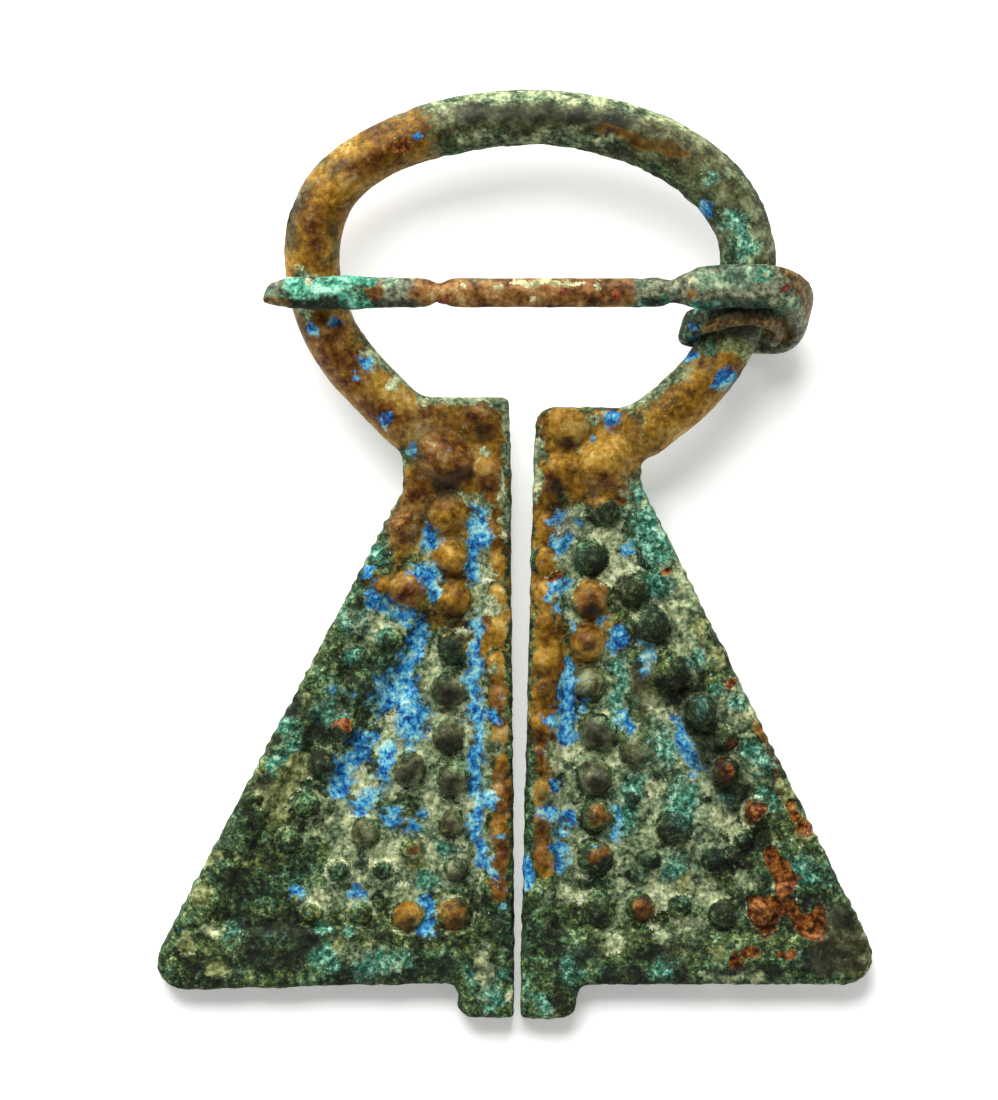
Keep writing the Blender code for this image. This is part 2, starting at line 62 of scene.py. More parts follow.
# How many points are measured against a line at once, which keeps the arrays small.
POINTS_AT_ONCE = 20000
# A share of a radius that is far outside any pellet or bead.
FAR_SHARE = 9.0
# Width in millimetres of the pattern that makes the patches' rims ragged.
WANDER_SIZE = 1.1

# Whole numbers that scramble a place and a seed into a random number of 32 bits.
AXIS_FACTORS = (374761393, 668265263, 2246822519)
SEED_FACTOR = 97
SEED_START = 13
SCRAMBLES = ((13, 1274126177), (15, 2654435761))
LAST_SHIFT = 16
# How far the lattice moves from one seed to the next, in cells.
SEED_SHIFT = 0.37
# What the sum of a field and its finer copies is divided by to reach about -1 to 1.
FRACTAL_SUM = 1.4

Patch = tuple[float, ...]


class Side(Enum):
    """Which of the two plates, as its direction from the gap."""

    LEFT = -1
    RIGHT = 1


class Mask(Enum):
    """What can lie on the metal, each a vertex attribute from 0 to 1; the dark one also holds painted
    shade and the pale one a painted pale sheen.
    """

    OLIVE = "olive"
    BARE = "bare"
    RUST = "rust"
    TAN = "tan"
    CUPRITE = "cuprite"
    MALACHITE = "malachite"
    CREAM = "cream"
    AZURITE = "azurite"
    # Dark patina, and painted shade in the coil, under the swellings and along the hoop's top.
    DARK = "dark"
    # Pale crust, and a painted pale sheen along the hoop top's edges and the plates' edges and side
    # walls.
    PALE_CRUST_AND_SHEEN = "pale"


class Spot(Enum):
    """A place on the plates' relief where corrosion gathers or wears off; along the plates' edges and
    side walls a pale sheen is painted.
    """

    RIM = "ring round each pellet"
    DOME = "top of each pellet"
    # Painted pale sheen along each plate's edges and side walls, with less bare bronze and olive crust
    # there.
    BORDER = "edge of each plate"
    BETWEEN = "ring round each bead"
    CRUSTED_RIM = "ring round each pellet, under crust"
    CRUSTED_DOME = "top of each pellet, under crust"


class Seed(IntEnum):
    """Where each random field starts, so that no two are alike."""

    FACE_WAVES = 3
    EDGE_WEAR = 11
    KNOBS = 15
    CASTING_CRUST = 21
    PIN_CRUST = 47
    CASTING_DRIFT = 60
    BACK_COVER = 80
    PIN_DRIFT = 160
    CASTING_WANDER = 200
    PIN_WANDER = 300
    RELIEF_WANDER = 400


def linear_colour(code: str) -> tuple[float, float, float, float]:
    """Turn an sRGB hex colour into a linear colour with alpha.

    Args:
        code: Six hex digits, such as "7f5a2b".

    Returns:
        Red, green and blue as linear values, and an alpha of 1.
    """
    channels = [int(code[place : place + 2], 16) / 255 for place in (0, 2, 4)]
    red, green, blue = (c / 12.92 if c <= 0.04045 else ((c + 0.055) / 1.055) ** 2.4 for c in channels)
    return red, green, blue, 1.0


def smooth_step(values: np.ndarray) -> np.ndarray:
    """Return values turned into 0 to 1 with level ends."""
    values = np.clip(values, 0.0, 1.0)
    return values * values * (3.0 - 2.0 * values)


def eased(values: np.ndarray, start: float, fade: float) -> np.ndarray:
    """Return 0 for values up to start and 1 from start + fade on, with level ends."""
    return smooth_step((values - start) / fade)


def bump(values: np.ndarray, spread: float) -> np.ndarray:
    """Return a smooth bell of height 1 where values are 0."""
    return np.exp(-((values / spread) ** 2))


def dome(share: np.ndarray, power: float, slope: float) -> np.ndarray:
    """Return the height of a round dome of height 1 and of a slope down outside its foot.

    Args:
        share: Distance from the dome's middle as a share of its radius.
        power: 0.5 for half a ball, more for gentler sides.
        slope: How steeply the field falls outside the foot.

    Returns:
        One height for each share, below 0 outside the foot.
    """
    return np.maximum(1.0 - share**2, 0.0) ** power - slope * np.maximum(share - 1.0, 0.0)


def smooth_max(first: np.ndarray, second: np.ndarray, blend: float) -> np.ndarray:
    """Return the larger of two fields, with a fillet where they meet.

    Args:
        first: One field.
        second: The other field.
        blend: How far apart the fields are where the fillet begins.

    Returns:
        The blended field.
    """
    share = np.maximum(blend - np.abs(first - second), 0.0) / blend
    return np.maximum(first, second) + share * share * blend / 4


def smooth_min(first: np.ndarray, second: np.ndarray, blend: float) -> np.ndarray:
    """Return the smaller of two fields, with a fillet where they meet."""
    return -smooth_max(-first, -second, blend)


def nearest_on_line(points: np.ndarray, line: np.ndarray) -> tuple[np.ndarray, np.ndarray]:
    """Measure points against an open line.

    Args:
        points: Array of shape (count, 2).
        line: The line's points, of shape (length, 2).

    Returns:
        The distance of each point to the line, and how far along the line that is.
    """
    starts, spans = line[:-1], np.diff(line, axis=0)
    lengths = np.linalg.norm(spans, axis=1)
    before = np.concatenate([[0.0], np.cumsum(lengths)[:-1]])
    distances, places = [], []
    for some in np.array_split(points, max(len(points) // POINTS_AT_ONCE, 1)):
        offsets = some[:, None, :] - starts
        shares = np.clip((offsets * spans).sum(axis=2) / lengths**2, 0.0, 1.0)
        gaps = np.linalg.norm(offsets - shares[:, :, None] * spans, axis=2)
        best = gaps.argmin(axis=1)
        rows = np.arange(len(some))
        distances.append(gaps[rows, best])
        places.append(before[best] + shares[rows, best] * lengths[best])
    return np.concatenate(distances), np.concatenate(places)


def hermite(t: float) -> tuple[float, float, float, float]:
    """Return the shares of a smooth curve's two ends and of its slopes there.

    Args:
        t: How far along the curve, from 0 to 1.

    Returns:
        The shares of the start, of its slope, of the end and of its slope.
    """
    start, start_slope = 2 * t**3 - 3 * t**2 + 1, t**3 - 2 * t**2 + t
    end, end_slope = 3 * t**2 - 2 * t**3, t**3 - t**2
    return start, start_slope, end, end_slope


def inside_distance(points: np.ndarray, outline: np.ndarray) -> np.ndarray:
    """Return the distance of points to a closed outline, negative inside it.

    Args:
        points: Array of shape (count, 2).
        outline: The outline's points, of shape (length, 2), not repeated at the end.

    Returns:
        One signed distance for each point.
    """
    closed = np.concatenate([outline, outline[:1]])
    distance, _ = nearest_on_line(points, closed)
    inside = np.zeros(len(points), bool)
    for (x0, y0), (x1, y1) in zip(closed[:-1], closed[1:]):
        if y0 != y1:
            crosses = (points[:, 1] > y0) != (points[:, 1] > y1)
            inside ^= crosses & (points[:, 0] < x0 + (points[:, 1] - y0) * (x1 - x0) / (y1 - y0))
    return np.where(inside, -distance, distance)


def patch_level(points: np.ndarray, patches: tuple[Patch, ...]) -> np.ndarray:
    """Return how deep points lie in the nearest patch.

    Args:
        points: Array whose first two columns are x and y.
        patches: Each (x, y, radius), or (x, y, radius, x, y) for one drawn out to a
            second place.

    Returns:
        1 in the middle of a patch, 0.5 on its rim and 0 at twice its radius.
    """
    level = np.zeros(len(points))
    flat = points[:, :2]
    for patch in patches:
        start, radius = np.array(patch[:2]), patch[2]
        span = np.array(patch[3:5]) - start if len(patch) > 3 else np.zeros(2)
        offset = flat - start
        if len(patch) > 3:
            share = np.clip(offset @ span / (span @ span), 0.0, 1.0)
            offset = offset - share[:, None] * span
        distance = np.hypot(offset[:, 0], offset[:, 1])
        level = np.maximum(level, 1.0 - 0.5 * distance / radius)
    return level


def round_share(points: np.ndarray, patch: Patch) -> np.ndarray:
    """Return the distance of points to a patch's middle as a share of its radius."""
    x, y, radius = patch
    return np.hypot(points[:, 0] - x, points[:, 1] - y) / radius


def wandered(points: np.ndarray, seed: int, reach: float) -> np.ndarray:
    """Return points moved sideways at random, so that round patches turn ragged.

    Args:
        points: Array of shape (count, 3), in millimetres.
        seed: Which random field to use.
        reach: How far points move at most, in millimetres.

    Returns:
        Array of shape (count, 2).
    """
    moves = [Noise(seed + axis).fractal(points, WANDER_SIZE) for axis in range(2)]
    return points[:, :2] + reach * np.stack(moves, axis=1)


@dataclass(frozen=True)
class Noise:
    """Smooth random field in space, the same in each run."""

    seed: int

    def lattice(self, cells: np.ndarray) -> np.ndarray:
        """Return a random value for each whole-numbered place.

        Args:
            cells: Whole numbers, of shape (count, 3).

        Returns:
            One value from -1 to 1 for each place.
        """
        places = cells.astype(np.uint32)
        mixed = np.full(len(places), self.seed * SEED_FACTOR + SEED_START, np.uint32)
        for axis, factor in enumerate(AXIS_FACTORS):
            mixed = mixed + places[:, axis] * np.uint32(factor)
        for shift, factor in SCRAMBLES:
            mixed = (mixed ^ (mixed >> np.uint32(shift))) * np.uint32(factor)
        mixed = mixed ^ (mixed >> np.uint32(LAST_SHIFT))
        return mixed.astype(float) / 2**31 - 1.0

    def at(self, points: np.ndarray, size: float) -> np.ndarray:
        """Return the field at points, from about -1 to 1.

        Args:
            points: Array of shape (count, 3), in millimetres.
            size: Width of one cell of the pattern, in millimetres.

        Returns:
            One value for each point.
        """
        scaled = points / size + self.seed * SEED_SHIFT
        base = np.floor(scaled)
        share = smooth_step(scaled - base)
        base = base.astype(np.int64)
        total = np.zeros(len(points))
        for corner in itertools.product((0, 1), repeat=3):
            weights = np.where(np.array(corner) == 1, share, 1.0 - share).prod(axis=1)
            total += weights * self.lattice(base + np.array(corner))
        return total

    def fractal(self, points: np.ndarray, size: float, octaves: int = 3) -> np.ndarray:
        """Return the field with finer and weaker copies added, from about -1 to 1.

        Args:
            points: Array of shape (count, 3), in millimetres.
            size: Width of the coarsest cells, in millimetres.
            octaves: How many fields are added up, each half as wide and as strong.

        Returns:
            One value for each point.
        """
        parts = [
            Noise(self.seed + step).at(points, size / 2**step) / 2**step for step in range(octaves)
        ]
        return sum(parts) / FRACTAL_SUM


def surface_nets(values: np.ndarray, low: np.ndarray, step: float) -> tuple[np.ndarray, np.ndarray]:
    """Draw the skin round the negative values of a grid.

    Args:
        values: Three-dimensional field, positive along its borders.
        low: Place of the first value.
        step: Distance between values.

    Returns:
        The skin's points and its four-cornered faces, facing out.
    """
    shape = np.array(values.shape) - 1
    cells, places, faces = [], [], []
    for axis in range(3):
        before = np.moveaxis(values, axis, 0)[:-1]
        after = np.moveaxis(values, axis, 0)[1:]
        crossing = np.argwhere((before < 0) != (after < 0))
        start = before[tuple(crossing.T)]
        end = after[tuple(crossing.T)]
        order = [axis] + [other for other in range(3) if other != axis]
        index = np.empty_like(crossing)
        index[:, order] = crossing
        place = index.astype(float)
        place[:, axis] += start / (start - end)
        u, v = (axis + 1) % 3, (axis + 2) % 3
        ring = []
        for back_u, back_v in ((0, 0), (1, 0), (1, 1), (0, 1)):
            cell = index.copy()
            cell[:, u] -= back_u
            cell[:, v] -= back_v
            ring.append(np.ravel_multi_index(cell.T, shape))
            places.append(place)
        ring = np.stack(ring, axis=1)
        cells.append(ring.T.ravel())
        ring[start > 0] = ring[start > 0][:, ::-1]
        faces.append(ring)
    names, rows = np.unique(np.concatenate(cells), return_inverse=True)
    places = np.concatenate(places)
    counts = np.bincount(rows)
    points = np.stack([np.bincount(rows, places[:, axis]) / counts for axis in range(3)], axis=1)
    return low + points * step, np.searchsorted(names, np.concatenate(faces))


def make_mesh(name: str, points: np.ndarray, faces: list[list[int]]) -> bpy.types.Mesh:
    """Return a smooth-shaded mesh.

    Args:
        name: The mesh's name.
        points: Array of shape (count, 3).
        faces: The numbers of the points at each face's corners.

    Returns:
        The mesh, without a material.
    """
    mesh = bpy.data.meshes.new(name)
    mesh.from_pydata(points.tolist(), [], faces)
    mesh.shade_smooth()
    return mesh


def read_vectors(items: bpy.types.bpy_prop_collection, name: str) -> np.ndarray:
    """Return a vector property of a mesh's points.

    Args:
        items: The mesh's collection that has it.
        name: The property's name.

    Returns:
        Array of shape (count, 3).
    """
    values = np.empty(len(items) * 3, np.float32)
    items.foreach_get(name, values)
    return values.reshape(-1, 3).astype(float)


def push_out(
    mesh: bpy.types.Mesh, points: np.ndarray, ways: np.ndarray, depth: np.ndarray
) -> None:
    """Move each point of a mesh.

    Args:
        mesh: The mesh to change.
        points: Where its points lie, of shape (count, 3).
        ways: The way that each point moves, of shape (count, 3).
        depth: How far each point moves.
    """
    moved = points + ways * depth[:, None]
    mesh.vertices.foreach_set("co", moved.astype(np.float32).ravel())
    mesh.update()


def write_masks(mesh: bpy.types.Mesh, masks: dict[Mask, np.ndarray]) -> None:
    """Store each mask on the mesh as a vertex attribute of its name.

    Args:
        mesh: The mesh that carries them.
        masks: One level for each point; a mask that is missing is stored as 0 all over.
    """
    for mask in Mask:
        attribute = mesh.attributes.new(mask.value, "FLOAT", "POINT")
        level = masks.get(mask, np.zeros(len(mesh.vertices)))
        attribute.data.foreach_set("value", np.clip(level, 0.0, 1.0).astype(np.float32))


@dataclass(frozen=True)
class Hoop:
    """Round rod bent to a flat oval, whose ends run into the plates' heads."""

    radius: float = 1.93
    half_width: float = 15.35
    rise: float = 10.1
    offset: float = 0.75
    shoulder_bulge: float = 0.64
    shoulder_angle: float = 146.0
    shoulder_spread: float = 22.0
    arc_step: float = 1.0
    step: float = 0.7
    crust_start: float = -20.0
    crust_rise: float = 30.0
    crust_end: float = 130.0
    crust_fade: float = 3.0
    crust_thickness: float = 0.11
    neck_place: float = 2.5
    neck_depth: float = 0.8
    neck_spread: float = 0.9
    boss_slimming: float = 0.22
    boss_spread: float = 1.4
    # Where the rod is thinner or thicker than the rest: angle, spread and change of radius.
    uneven: tuple[Patch, ...] = (
        (85.0, 30.0, -0.1),
        (145.0, 9.0, -0.08),
        (32.0, 14.0, 0.05),
        (6.0, 10.0, -0.08),
        (171.0, 8.0, 0.06),
    )

    def point(self, angle: float, drop: float) -> Vector:
        """Return the rod's middle on the oval.

        Args:
            angle: Ellipse angle counted from the right, in degrees.
            drop: How far the oval reaches below its middle.

        Returns:
            The place in the brooch's frame.
        """
        turn = math.radians(angle)
        rise = self.rise if math.sin(turn) > 0 else drop
        away = (angle - self.shoulder_angle) / self.shoulder_spread
        swell = 1.0 + self.shoulder_bulge / self.half_width * math.exp(-(away**2))
        x = self.half_width * math.cos(turn) * swell
        return Vector((self.offset + x, rise * math.sin(turn) * swell, 0.0))

    def touch_angle(self, boss: Vector, drop: float, side: Side) -> float:
        """Return the ellipse angle at which the straight line from a boss meets the oval."""
        x, y = (boss.x - self.offset) / self.half_width, boss.y / drop
        return math.degrees(math.atan2(y, x) + side.value * math.acos(1.0 / math.hypot(x, y)))

    def route(self, plates: tuple["Plate", "Plate"]) -> np.ndarray:
        """Return the rod's middle, from the left plate's boss to the right one's.

        Args:
            plates: The left and the right plate.

        Returns:
            Evenly spaced places of shape (count, 2).
        """
        left, right = plates
        start, end = left.boss_place(), right.boss_place()
        first = self.touch_angle(start, left.arm_drop, left.side) % 360.0
        last = self.touch_angle(end, right.arm_drop, right.side)
        route = [start]
        for angle in np.arange(first, last, -self.arc_step):
            route.append(self.point(angle, left.arm_drop if angle > 90 else right.arm_drop))
        route.append(end)
        points = np.array(route)[:, :2]
        spans = np.linalg.norm(np.diff(points, axis=0), axis=1)
        lengths = np.concatenate([[0.0], np.cumsum(spans)])
        even = np.linspace(0.0, lengths[-1], int(lengths[-1] / self.step))
        return np.stack([np.interp(even, lengths, points[:, axis]) for axis in range(2)], axis=1)

    def width_at(self, points: np.ndarray, plates: tuple["Plate", "Plate"]) -> np.ndarray:
        """Return the rod's radius near points of the face.

        Args:
            points: Array whose first two columns are x and y.
            plates: The plates that the rod's ends stand on as bosses, behind a neck.

        Returns:
            The radius: thicker under the crust at the top and thinner where it is worn.
        """
        angle = np.degrees(np.arctan2(points[:, 1], points[:, 0] - self.offset))
        crusted = smooth_step((self.crust_end - angle) / self.crust_fade)
        crusted = crusted * eased(angle, self.crust_start, self.crust_rise)
        change = self.crust_thickness * crusted
        for place, spread, depth in self.uneven:
            change += depth * bump(angle - place, spread)
        for plate in plates:
            boss = plate.boss_place()
            away = np.hypot(points[:, 0] - boss.x, points[:, 1] - boss.y)
            change -= self.neck_depth * bump(away - self.neck_place, self.neck_spread)
            change -= self.boss_slimming * bump(away, self.boss_spread)
        return self.radius + change


@dataclass(frozen=True)
class Plate:
    """One triangular plate with its worn relief; places on it are (x, y) on the face."""

    side: Side
    edge_x: float
    top_y: float
    turn: float
    length: float
    head_length: float
    flare: float
    bottom_drop: float
    arm_drop: float
    top_corner: float
    boss: tuple[float, float]
    pellets: tuple[Patch, ...]
    swellings: tuple[Patch, ...]
    grooves: tuple[Patch, ...]
    bead_start: float
    thickness: float = 1.9
    face_height: float = 0.3
    head_width: float = 7.6
    outer_corner: float = 2.0
    neck_radius: float = 1.5
    tab_width: float = 4.0
    tab_length: float = 2.5
    tab_corner: float = 1.2
    tab_tip: float = 0.45
    tab_fillet: float = 0.9
    edge_round: float = 0.6
    back_round: float = 0.3
    field_depth: float = 0.5
    field_slope: float = 0.6
    field_corner: float = 0.8
    inner_border: float = 1.9
    outer_border: float = 1.9
    bottom_border: float = 3.5
    field_top: float = 7.6
    pellet_height: float = 1.1
    pellet_power: float = 0.85
    pellet_growth: float = 0.8
    pellet_radius: float = 1.3
    pellet_slope: float = 3.0
    pellet_foot: float = 0.16
    ball_power: float = 0.5
    bead_radius: float = 0.78
    bead_stretch: float = 1.3
    bead_height: float = 0.36
    bead_pitch: float = 2.35
    bead_inset: float = 1.05
    bead_slope: float = 3.0
    bead_foot: float = 0.15
    sink: float = 0.1
    rim_bead_pitch: float = 2.0
    rim_bead_height: float = 0.28
    rim_bead_radius: float = 0.75
    rim_bead_inset: float = 0.95
    knob_depth: float = 0.08
    knobs_a_bead: int = 2
    knob_start: float = -2.0
    knob_fade: float = 1.5
    knob_share: float = 0.4
    knob_patch: float = 2.8
    edge_wear: float = 0.07
    edge_wear_size: float = 1.1
    uneven: float = 0.16
    wave_height: float = 0.05
    wave_length: float = 2.6
    groove_depth: float = 0.55
    groove_start: float = 0.3
    groove_fade: float = 0.5
    swelling_height: float = 0.75
    swelling_slope: float = 2.0
    swelling_foot: float = 0.35
    arc_steps: int = 6

    def local(self, points: np.ndarray) -> np.ndarray:
        """Turn points of the face into places on the plate.

        Args:
            points: Array whose first two columns are x and y.

        Returns:
            (down, out) from the plate's inner top corner, of shape (count, 2).
        """
        turn = math.radians(self.turn)
        x, y = points[:, 0] - self.edge_x, points[:, 1] - self.top_y
        across = x * math.cos(turn) + y * math.sin(turn)
        up = y * math.cos(turn) - x * math.sin(turn)
        return np.stack([-up, self.side.value * across], axis=1)

    def boss_place(self) -> Vector:
        """Find where the rod ends in the plate's head.

        Returns:
            The place in the brooch's frame.
        """
        turn = math.radians(self.turn)
        x, y = self.side.value * self.boss[1], -self.boss[0]
        across = x * math.cos(turn) - y * math.sin(turn)
        up = x * math.sin(turn) + y * math.cos(turn)
        return Vector((self.edge_x + across, self.top_y + up, 0.0))

    def outer_edge(self, down: float) -> float:
        """Return how far out the slanting edge lies at a distance down the plate."""
        return self.head_width + self.flare * (down - self.head_length)

    def rounded(self, corners: tuple[Patch, ...]) -> np.ndarray:
        """Round the corners of an outline.

        Args:
            corners: (down, out, radius) of each corner.

        Returns:
            The outline's points, of shape (count, 2).
        """
        points = []
        for index, (down, out, radius) in enumerate(corners):
            here = Vector((down, out))
            before = (here - Vector(corners[index - 1][:2])).normalized()
            after = (Vector(corners[(index + 1) % len(corners)][:2]) - here).normalized()
            turn = before.cross(after)
            half = math.atan2(abs(turn), 1.0 + before.dot(after))
            start = here - before * (radius * math.tan(half))
            side = math.copysign(1.0, turn)
            centre = start + Vector((-before.y, before.x)) * (side * radius)
            arm = start - centre
            for step in range(self.arc_steps + 1):
                swing = side * 2 * half * step / self.arc_steps
                points.append(centre + Matrix.Rotation(swing, 2) @ arm)
        return np.array(points)

    def outline(self) -> np.ndarray:
        """Return the plate's outline.

        Returns:
            (down, out) points of shape (count, 2).
        """
        corner = self.length + self.bottom_drop
        corners = (
            (0.0, 0.0, self.top_corner),
            (self.length + self.tab_length, 0.0, self.tab_tip),
            (self.length + self.tab_length, self.tab_width, self.tab_corner),
            (self.length, self.tab_width, self.tab_fillet),
            (corner, self.outer_edge(corner), self.outer_corner),
            (self.head_length, self.head_width, self.neck_radius),
            (0.0, self.head_width, self.tab_fillet),
        )
        return self.rounded(corners)

    def field(self) -> np.ndarray:
        """Return the outline of the sunk field.

        Returns:
            (down, out) points of shape (count, 2).
        """
        bottom = self.length - self.bottom_border
        inset = self.outer_border * math.hypot(1.0, self.flare)
        corners = (
            (self.field_top, self.inner_border, self.field_corner),
            (bottom, self.inner_border, self.field_corner),
            (bottom, self.outer_edge(bottom) - inset, self.field_corner),
            (self.field_top, self.outer_edge(self.field_top) - inset, self.field_corner),
        )
        return self.rounded(corners)

    def pellet_share(self, points: np.ndarray) -> np.ndarray:
        """Measure points against the nearest pellet.

        Args:
            points: Array whose first two columns are x and y.

        Returns:
            The distance to the pellet's middle as a share of its radius.
        """
        share = np.full(len(points), FAR_SHARE)
        for pellet in self.pellets:
            share = np.minimum(share, round_share(points, pellet))
        return share

    def bead_share(self, places: np.ndarray) -> np.ndarray:
        """Measure places against the nearest bead along the inner edge.

        Args:
            places: (down, out) on the plate, of shape (count, 2).

        Returns:
            The distance to the bead's middle as a share of its radius.
        """
        last = self.length - self.bottom_border
        count = int((last - self.bead_start) / self.bead_pitch)
        number = np.clip(np.round((places[:, 0] - self.bead_start) / self.bead_pitch), 0, count)
        down = (places[:, 0] - self.bead_start - number * self.bead_pitch) / self.bead_stretch
        return np.hypot(down, places[:, 1] - self.bead_inset) / self.bead_radius

    def rim_bead_share(self, places: np.ndarray) -> np.ndarray:
        """Measure places against the nearest worn bead along the slanting edge.

        Args:
            places: (down, out) on the plate, of shape (count, 2).

        Returns:
            The distance to the bead's middle as a share of its radius.
        """
        slant = math.hypot(1.0, self.flare)
        inset = (self.outer_edge(places[:, 0]) - places[:, 1]) / slant - self.rim_bead_inset
        along = places[:, 0] * slant / self.rim_bead_pitch
        along = (along - np.round(along)) * self.rim_bead_pitch
        away = np.hypot(along, inset) / self.rim_bead_radius
        last = self.length - self.outer_corner
        return away + FAR_SHARE * ((places[:, 0] < self.field_top) | (places[:, 0] > last))

    def relief(self, points: np.ndarray) -> np.ndarray:
        """Return the height of the face, away from its edges.

        Args:
            points: Array whose first two columns are x and y.

        Returns:
            One height for each point, with the field, the grooves, the pellets, the
            beads and the swellings at the plate's head.
        """
        flat = np.column_stack([points[:, :2], np.zeros(len(points))])
        points = wandered(flat, Seed.RELIEF_WANDER, self.uneven)
        places = self.local(points)
        sunk = smooth_step(-inside_distance(places, self.field()) / self.field_slope)
        floor = self.face_height - self.field_depth
        height = self.face_height - self.field_depth * sunk
        height = height + self.wave_height * Noise(Seed.FACE_WAVES).at(flat, self.wave_length)
        groove = eased(patch_level(points, self.grooves), self.groove_start, self.groove_fade)
        height = height - self.groove_depth * groove
        for pellet in self.pellets:
            tall = self.pellet_height * (pellet[2] / self.pellet_radius) ** self.pellet_growth
            share = round_share(points, pellet)
            lump = tall * dome(share, self.pellet_power, self.pellet_slope / tall)
            height = smooth_max(height, floor + lump, self.pellet_foot)
        foot = self.face_height - self.sink
        bead = self.bead_height * dome(self.bead_share(places), self.ball_power, self.bead_slope)
        height = smooth_max(height, foot + bead, self.bead_foot)
        height = height + self.rim_bead_height * (1.0 - smooth_step(self.rim_bead_share(places)))
        for swelling in self.swellings:
            share = round_share(points, swelling)
            lump = self.swelling_height * dome(share, self.ball_power, self.swelling_slope)
            height = smooth_max(height, foot + lump, self.swelling_foot)
        return height

    def solid(self, points: np.ndarray, levels: np.ndarray) -> np.ndarray:
        """Return the plate's field at points of the face for each of several heights.

        Args:
            points: Array of shape (count, 2) on the face.
            levels: Heights out of the face.

        Returns:
            Array of shape (count, heights), negative inside the plate.
        """
        places = self.local(points)
        edge = inside_distance(places, self.outline())[:, None]
        flat = np.column_stack([points[:, :2], np.zeros(len(points))])
        wear = Noise(Seed.EDGE_WEAR).fractal(flat, self.edge_wear_size)
        edge = edge + self.edge_wear * wear[:, None]
        turns = 2 * np.pi * self.knobs_a_bead * places[:, 0]
        knobs = np.cos(turns * math.hypot(1.0, self.flare) / self.rim_bead_pitch)
        beyond = places[:, 1] - self.outer_edge(places[:, 0])
        slanting = eased(beyond, self.knob_start, self.knob_fade)
        left_over = np.clip(self.knob_share + Noise(Seed.KNOBS).at(flat, self.knob_patch), 0.0, 1.0)
        edge = edge - self.knob_depth * (knobs * left_over * slanting)[:, None]
        top = levels[None, :] - self.relief(points)[:, None]
        bottom = (self.face_height - self.thickness) - levels[None, :]
        return smooth_max(smooth_max(top, edge, self.edge_round), bottom, self.back_round)


LEFT_PLATE = Plate(
    side=Side.LEFT,
    edge_x=-0.7,
    top_y=-9.7,
    turn=0.46,
    length=41.5,
    head_length=6.5,
    flare=0.54,
    bottom_drop=0.4,
    arm_drop=12.9,
    top_corner=0.6,
    boss=(4.6, 4.45),
    bead_start=7.2,
    pellets=(
        (-5.1, -17.9, 1.5), (-4.8, -21.1, 1.3), (-4.6, -24.0, 1.27), (-4.7, -27.4, 1.2),
        (-5.1, -30.4, 1.41), (-5.1, -33.7, 1.24), (-4.8, -36.8, 1.24), (-4.8, -39.9, 1.06),
        (-4.6, -43.1, 0.99), (-4.6, -46.4, 1.2), (-2.3, -47.2, 0.85), (-2.2, -44.3, 0.64),
        (-8.6, -19.0, 1.3), (-10.0, -21.0, 0.85), (-8.0, -23.3, 1.41), (-9.7, -23.0, 0.85),
        (-9.2, -26.9, 1.06), (-11.6, -28.2, 0.92), (-11.1, -30.0, 1.2), (-12.5, -33.1, 0.99),
        (-14.0, -35.7, 1.1), (-15.1, -38.5, 0.99), (-16.3, -41.1, 0.92), (-7.8, -36.0, 1.38),
        (-10.9, -40.4, 1.2), (-7.6, -41.6, 0.99), (-9.7, -43.1, 0.85), (-12.8, -43.2, 0.85),
        (-7.9, -46.5, 1.13), (-11.3, -46.3, 0.85), (-14.7, -46.3, 0.85),
    ),
    swellings=((-2.8, -11.2, 1.65), (-2.3, -15.1, 1.15), (-5.1, -14.2, 1.9)),
    grooves=(
        (-6.5, -25.8, 0.7, -8.3, -29.2), (-8.3, -29.2, 1.0, -10.2, -33.0),
        (-10.2, -33.0, 1.4, -12.2, -36.6),
    ),
)

RIGHT_PLATE = Plate(
    side=Side.RIGHT,
    edge_x=1.1,
    top_y=-10.35,
    turn=-1.46,
    length=40.9,
    head_length=5.2,
    flare=0.53,
    bottom_drop=-0.6,
    arm_drop=13.8,
    top_corner=1.4,
    boss=(3.95, 4.75),
    bead_start=6.2,
    pellets=(
        (6.0, -17.5, 1.41), (5.0, -21.0, 1.34), (8.0, -23.2, 1.34), (5.0, -23.9, 1.48),
        (9.3, -25.8, 1.48), (4.8, -27.1, 1.41), (10.7, -28.9, 1.41), (5.0, -30.0, 1.27),
        (5.5, -33.4, 1.41), (8.3, -34.5, 1.48), (5.3, -36.6, 1.41), (8.0, -38.1, 0.64),
        (5.4, -39.4, 1.27), (5.3, -42.3, 1.41), (10.9, -40.0, 1.41), (9.3, -42.4, 0.92),
        (13.7, -42.4, 0.85), (15.0, -42.1, 0.71), (12.9, -32.0, 1.2), (14.6, -33.8, 0.92),
        (14.7, -36.1, 0.99), (16.9, -39.0, 0.99), (5.7, -46.0, 1.27), (8.5, -45.8, 1.06),
        (11.3, -45.7, 0.92), (14.4, -46.3, 1.13), (17.2, -46.2, 0.99), (18.8, -44.8, 0.78),
        (15.8, -41.0, 0.71),
    ),
    swellings=((3.5, -11.6, 1.6), (2.8, -14.9, 1.2), (6.4, -14.8, 2.1)),
    grooves=((11.5, -30.6, 0.8, 13.9, -35.4), (13.9, -35.4, 0.9, 16.4, -40.6)),
)
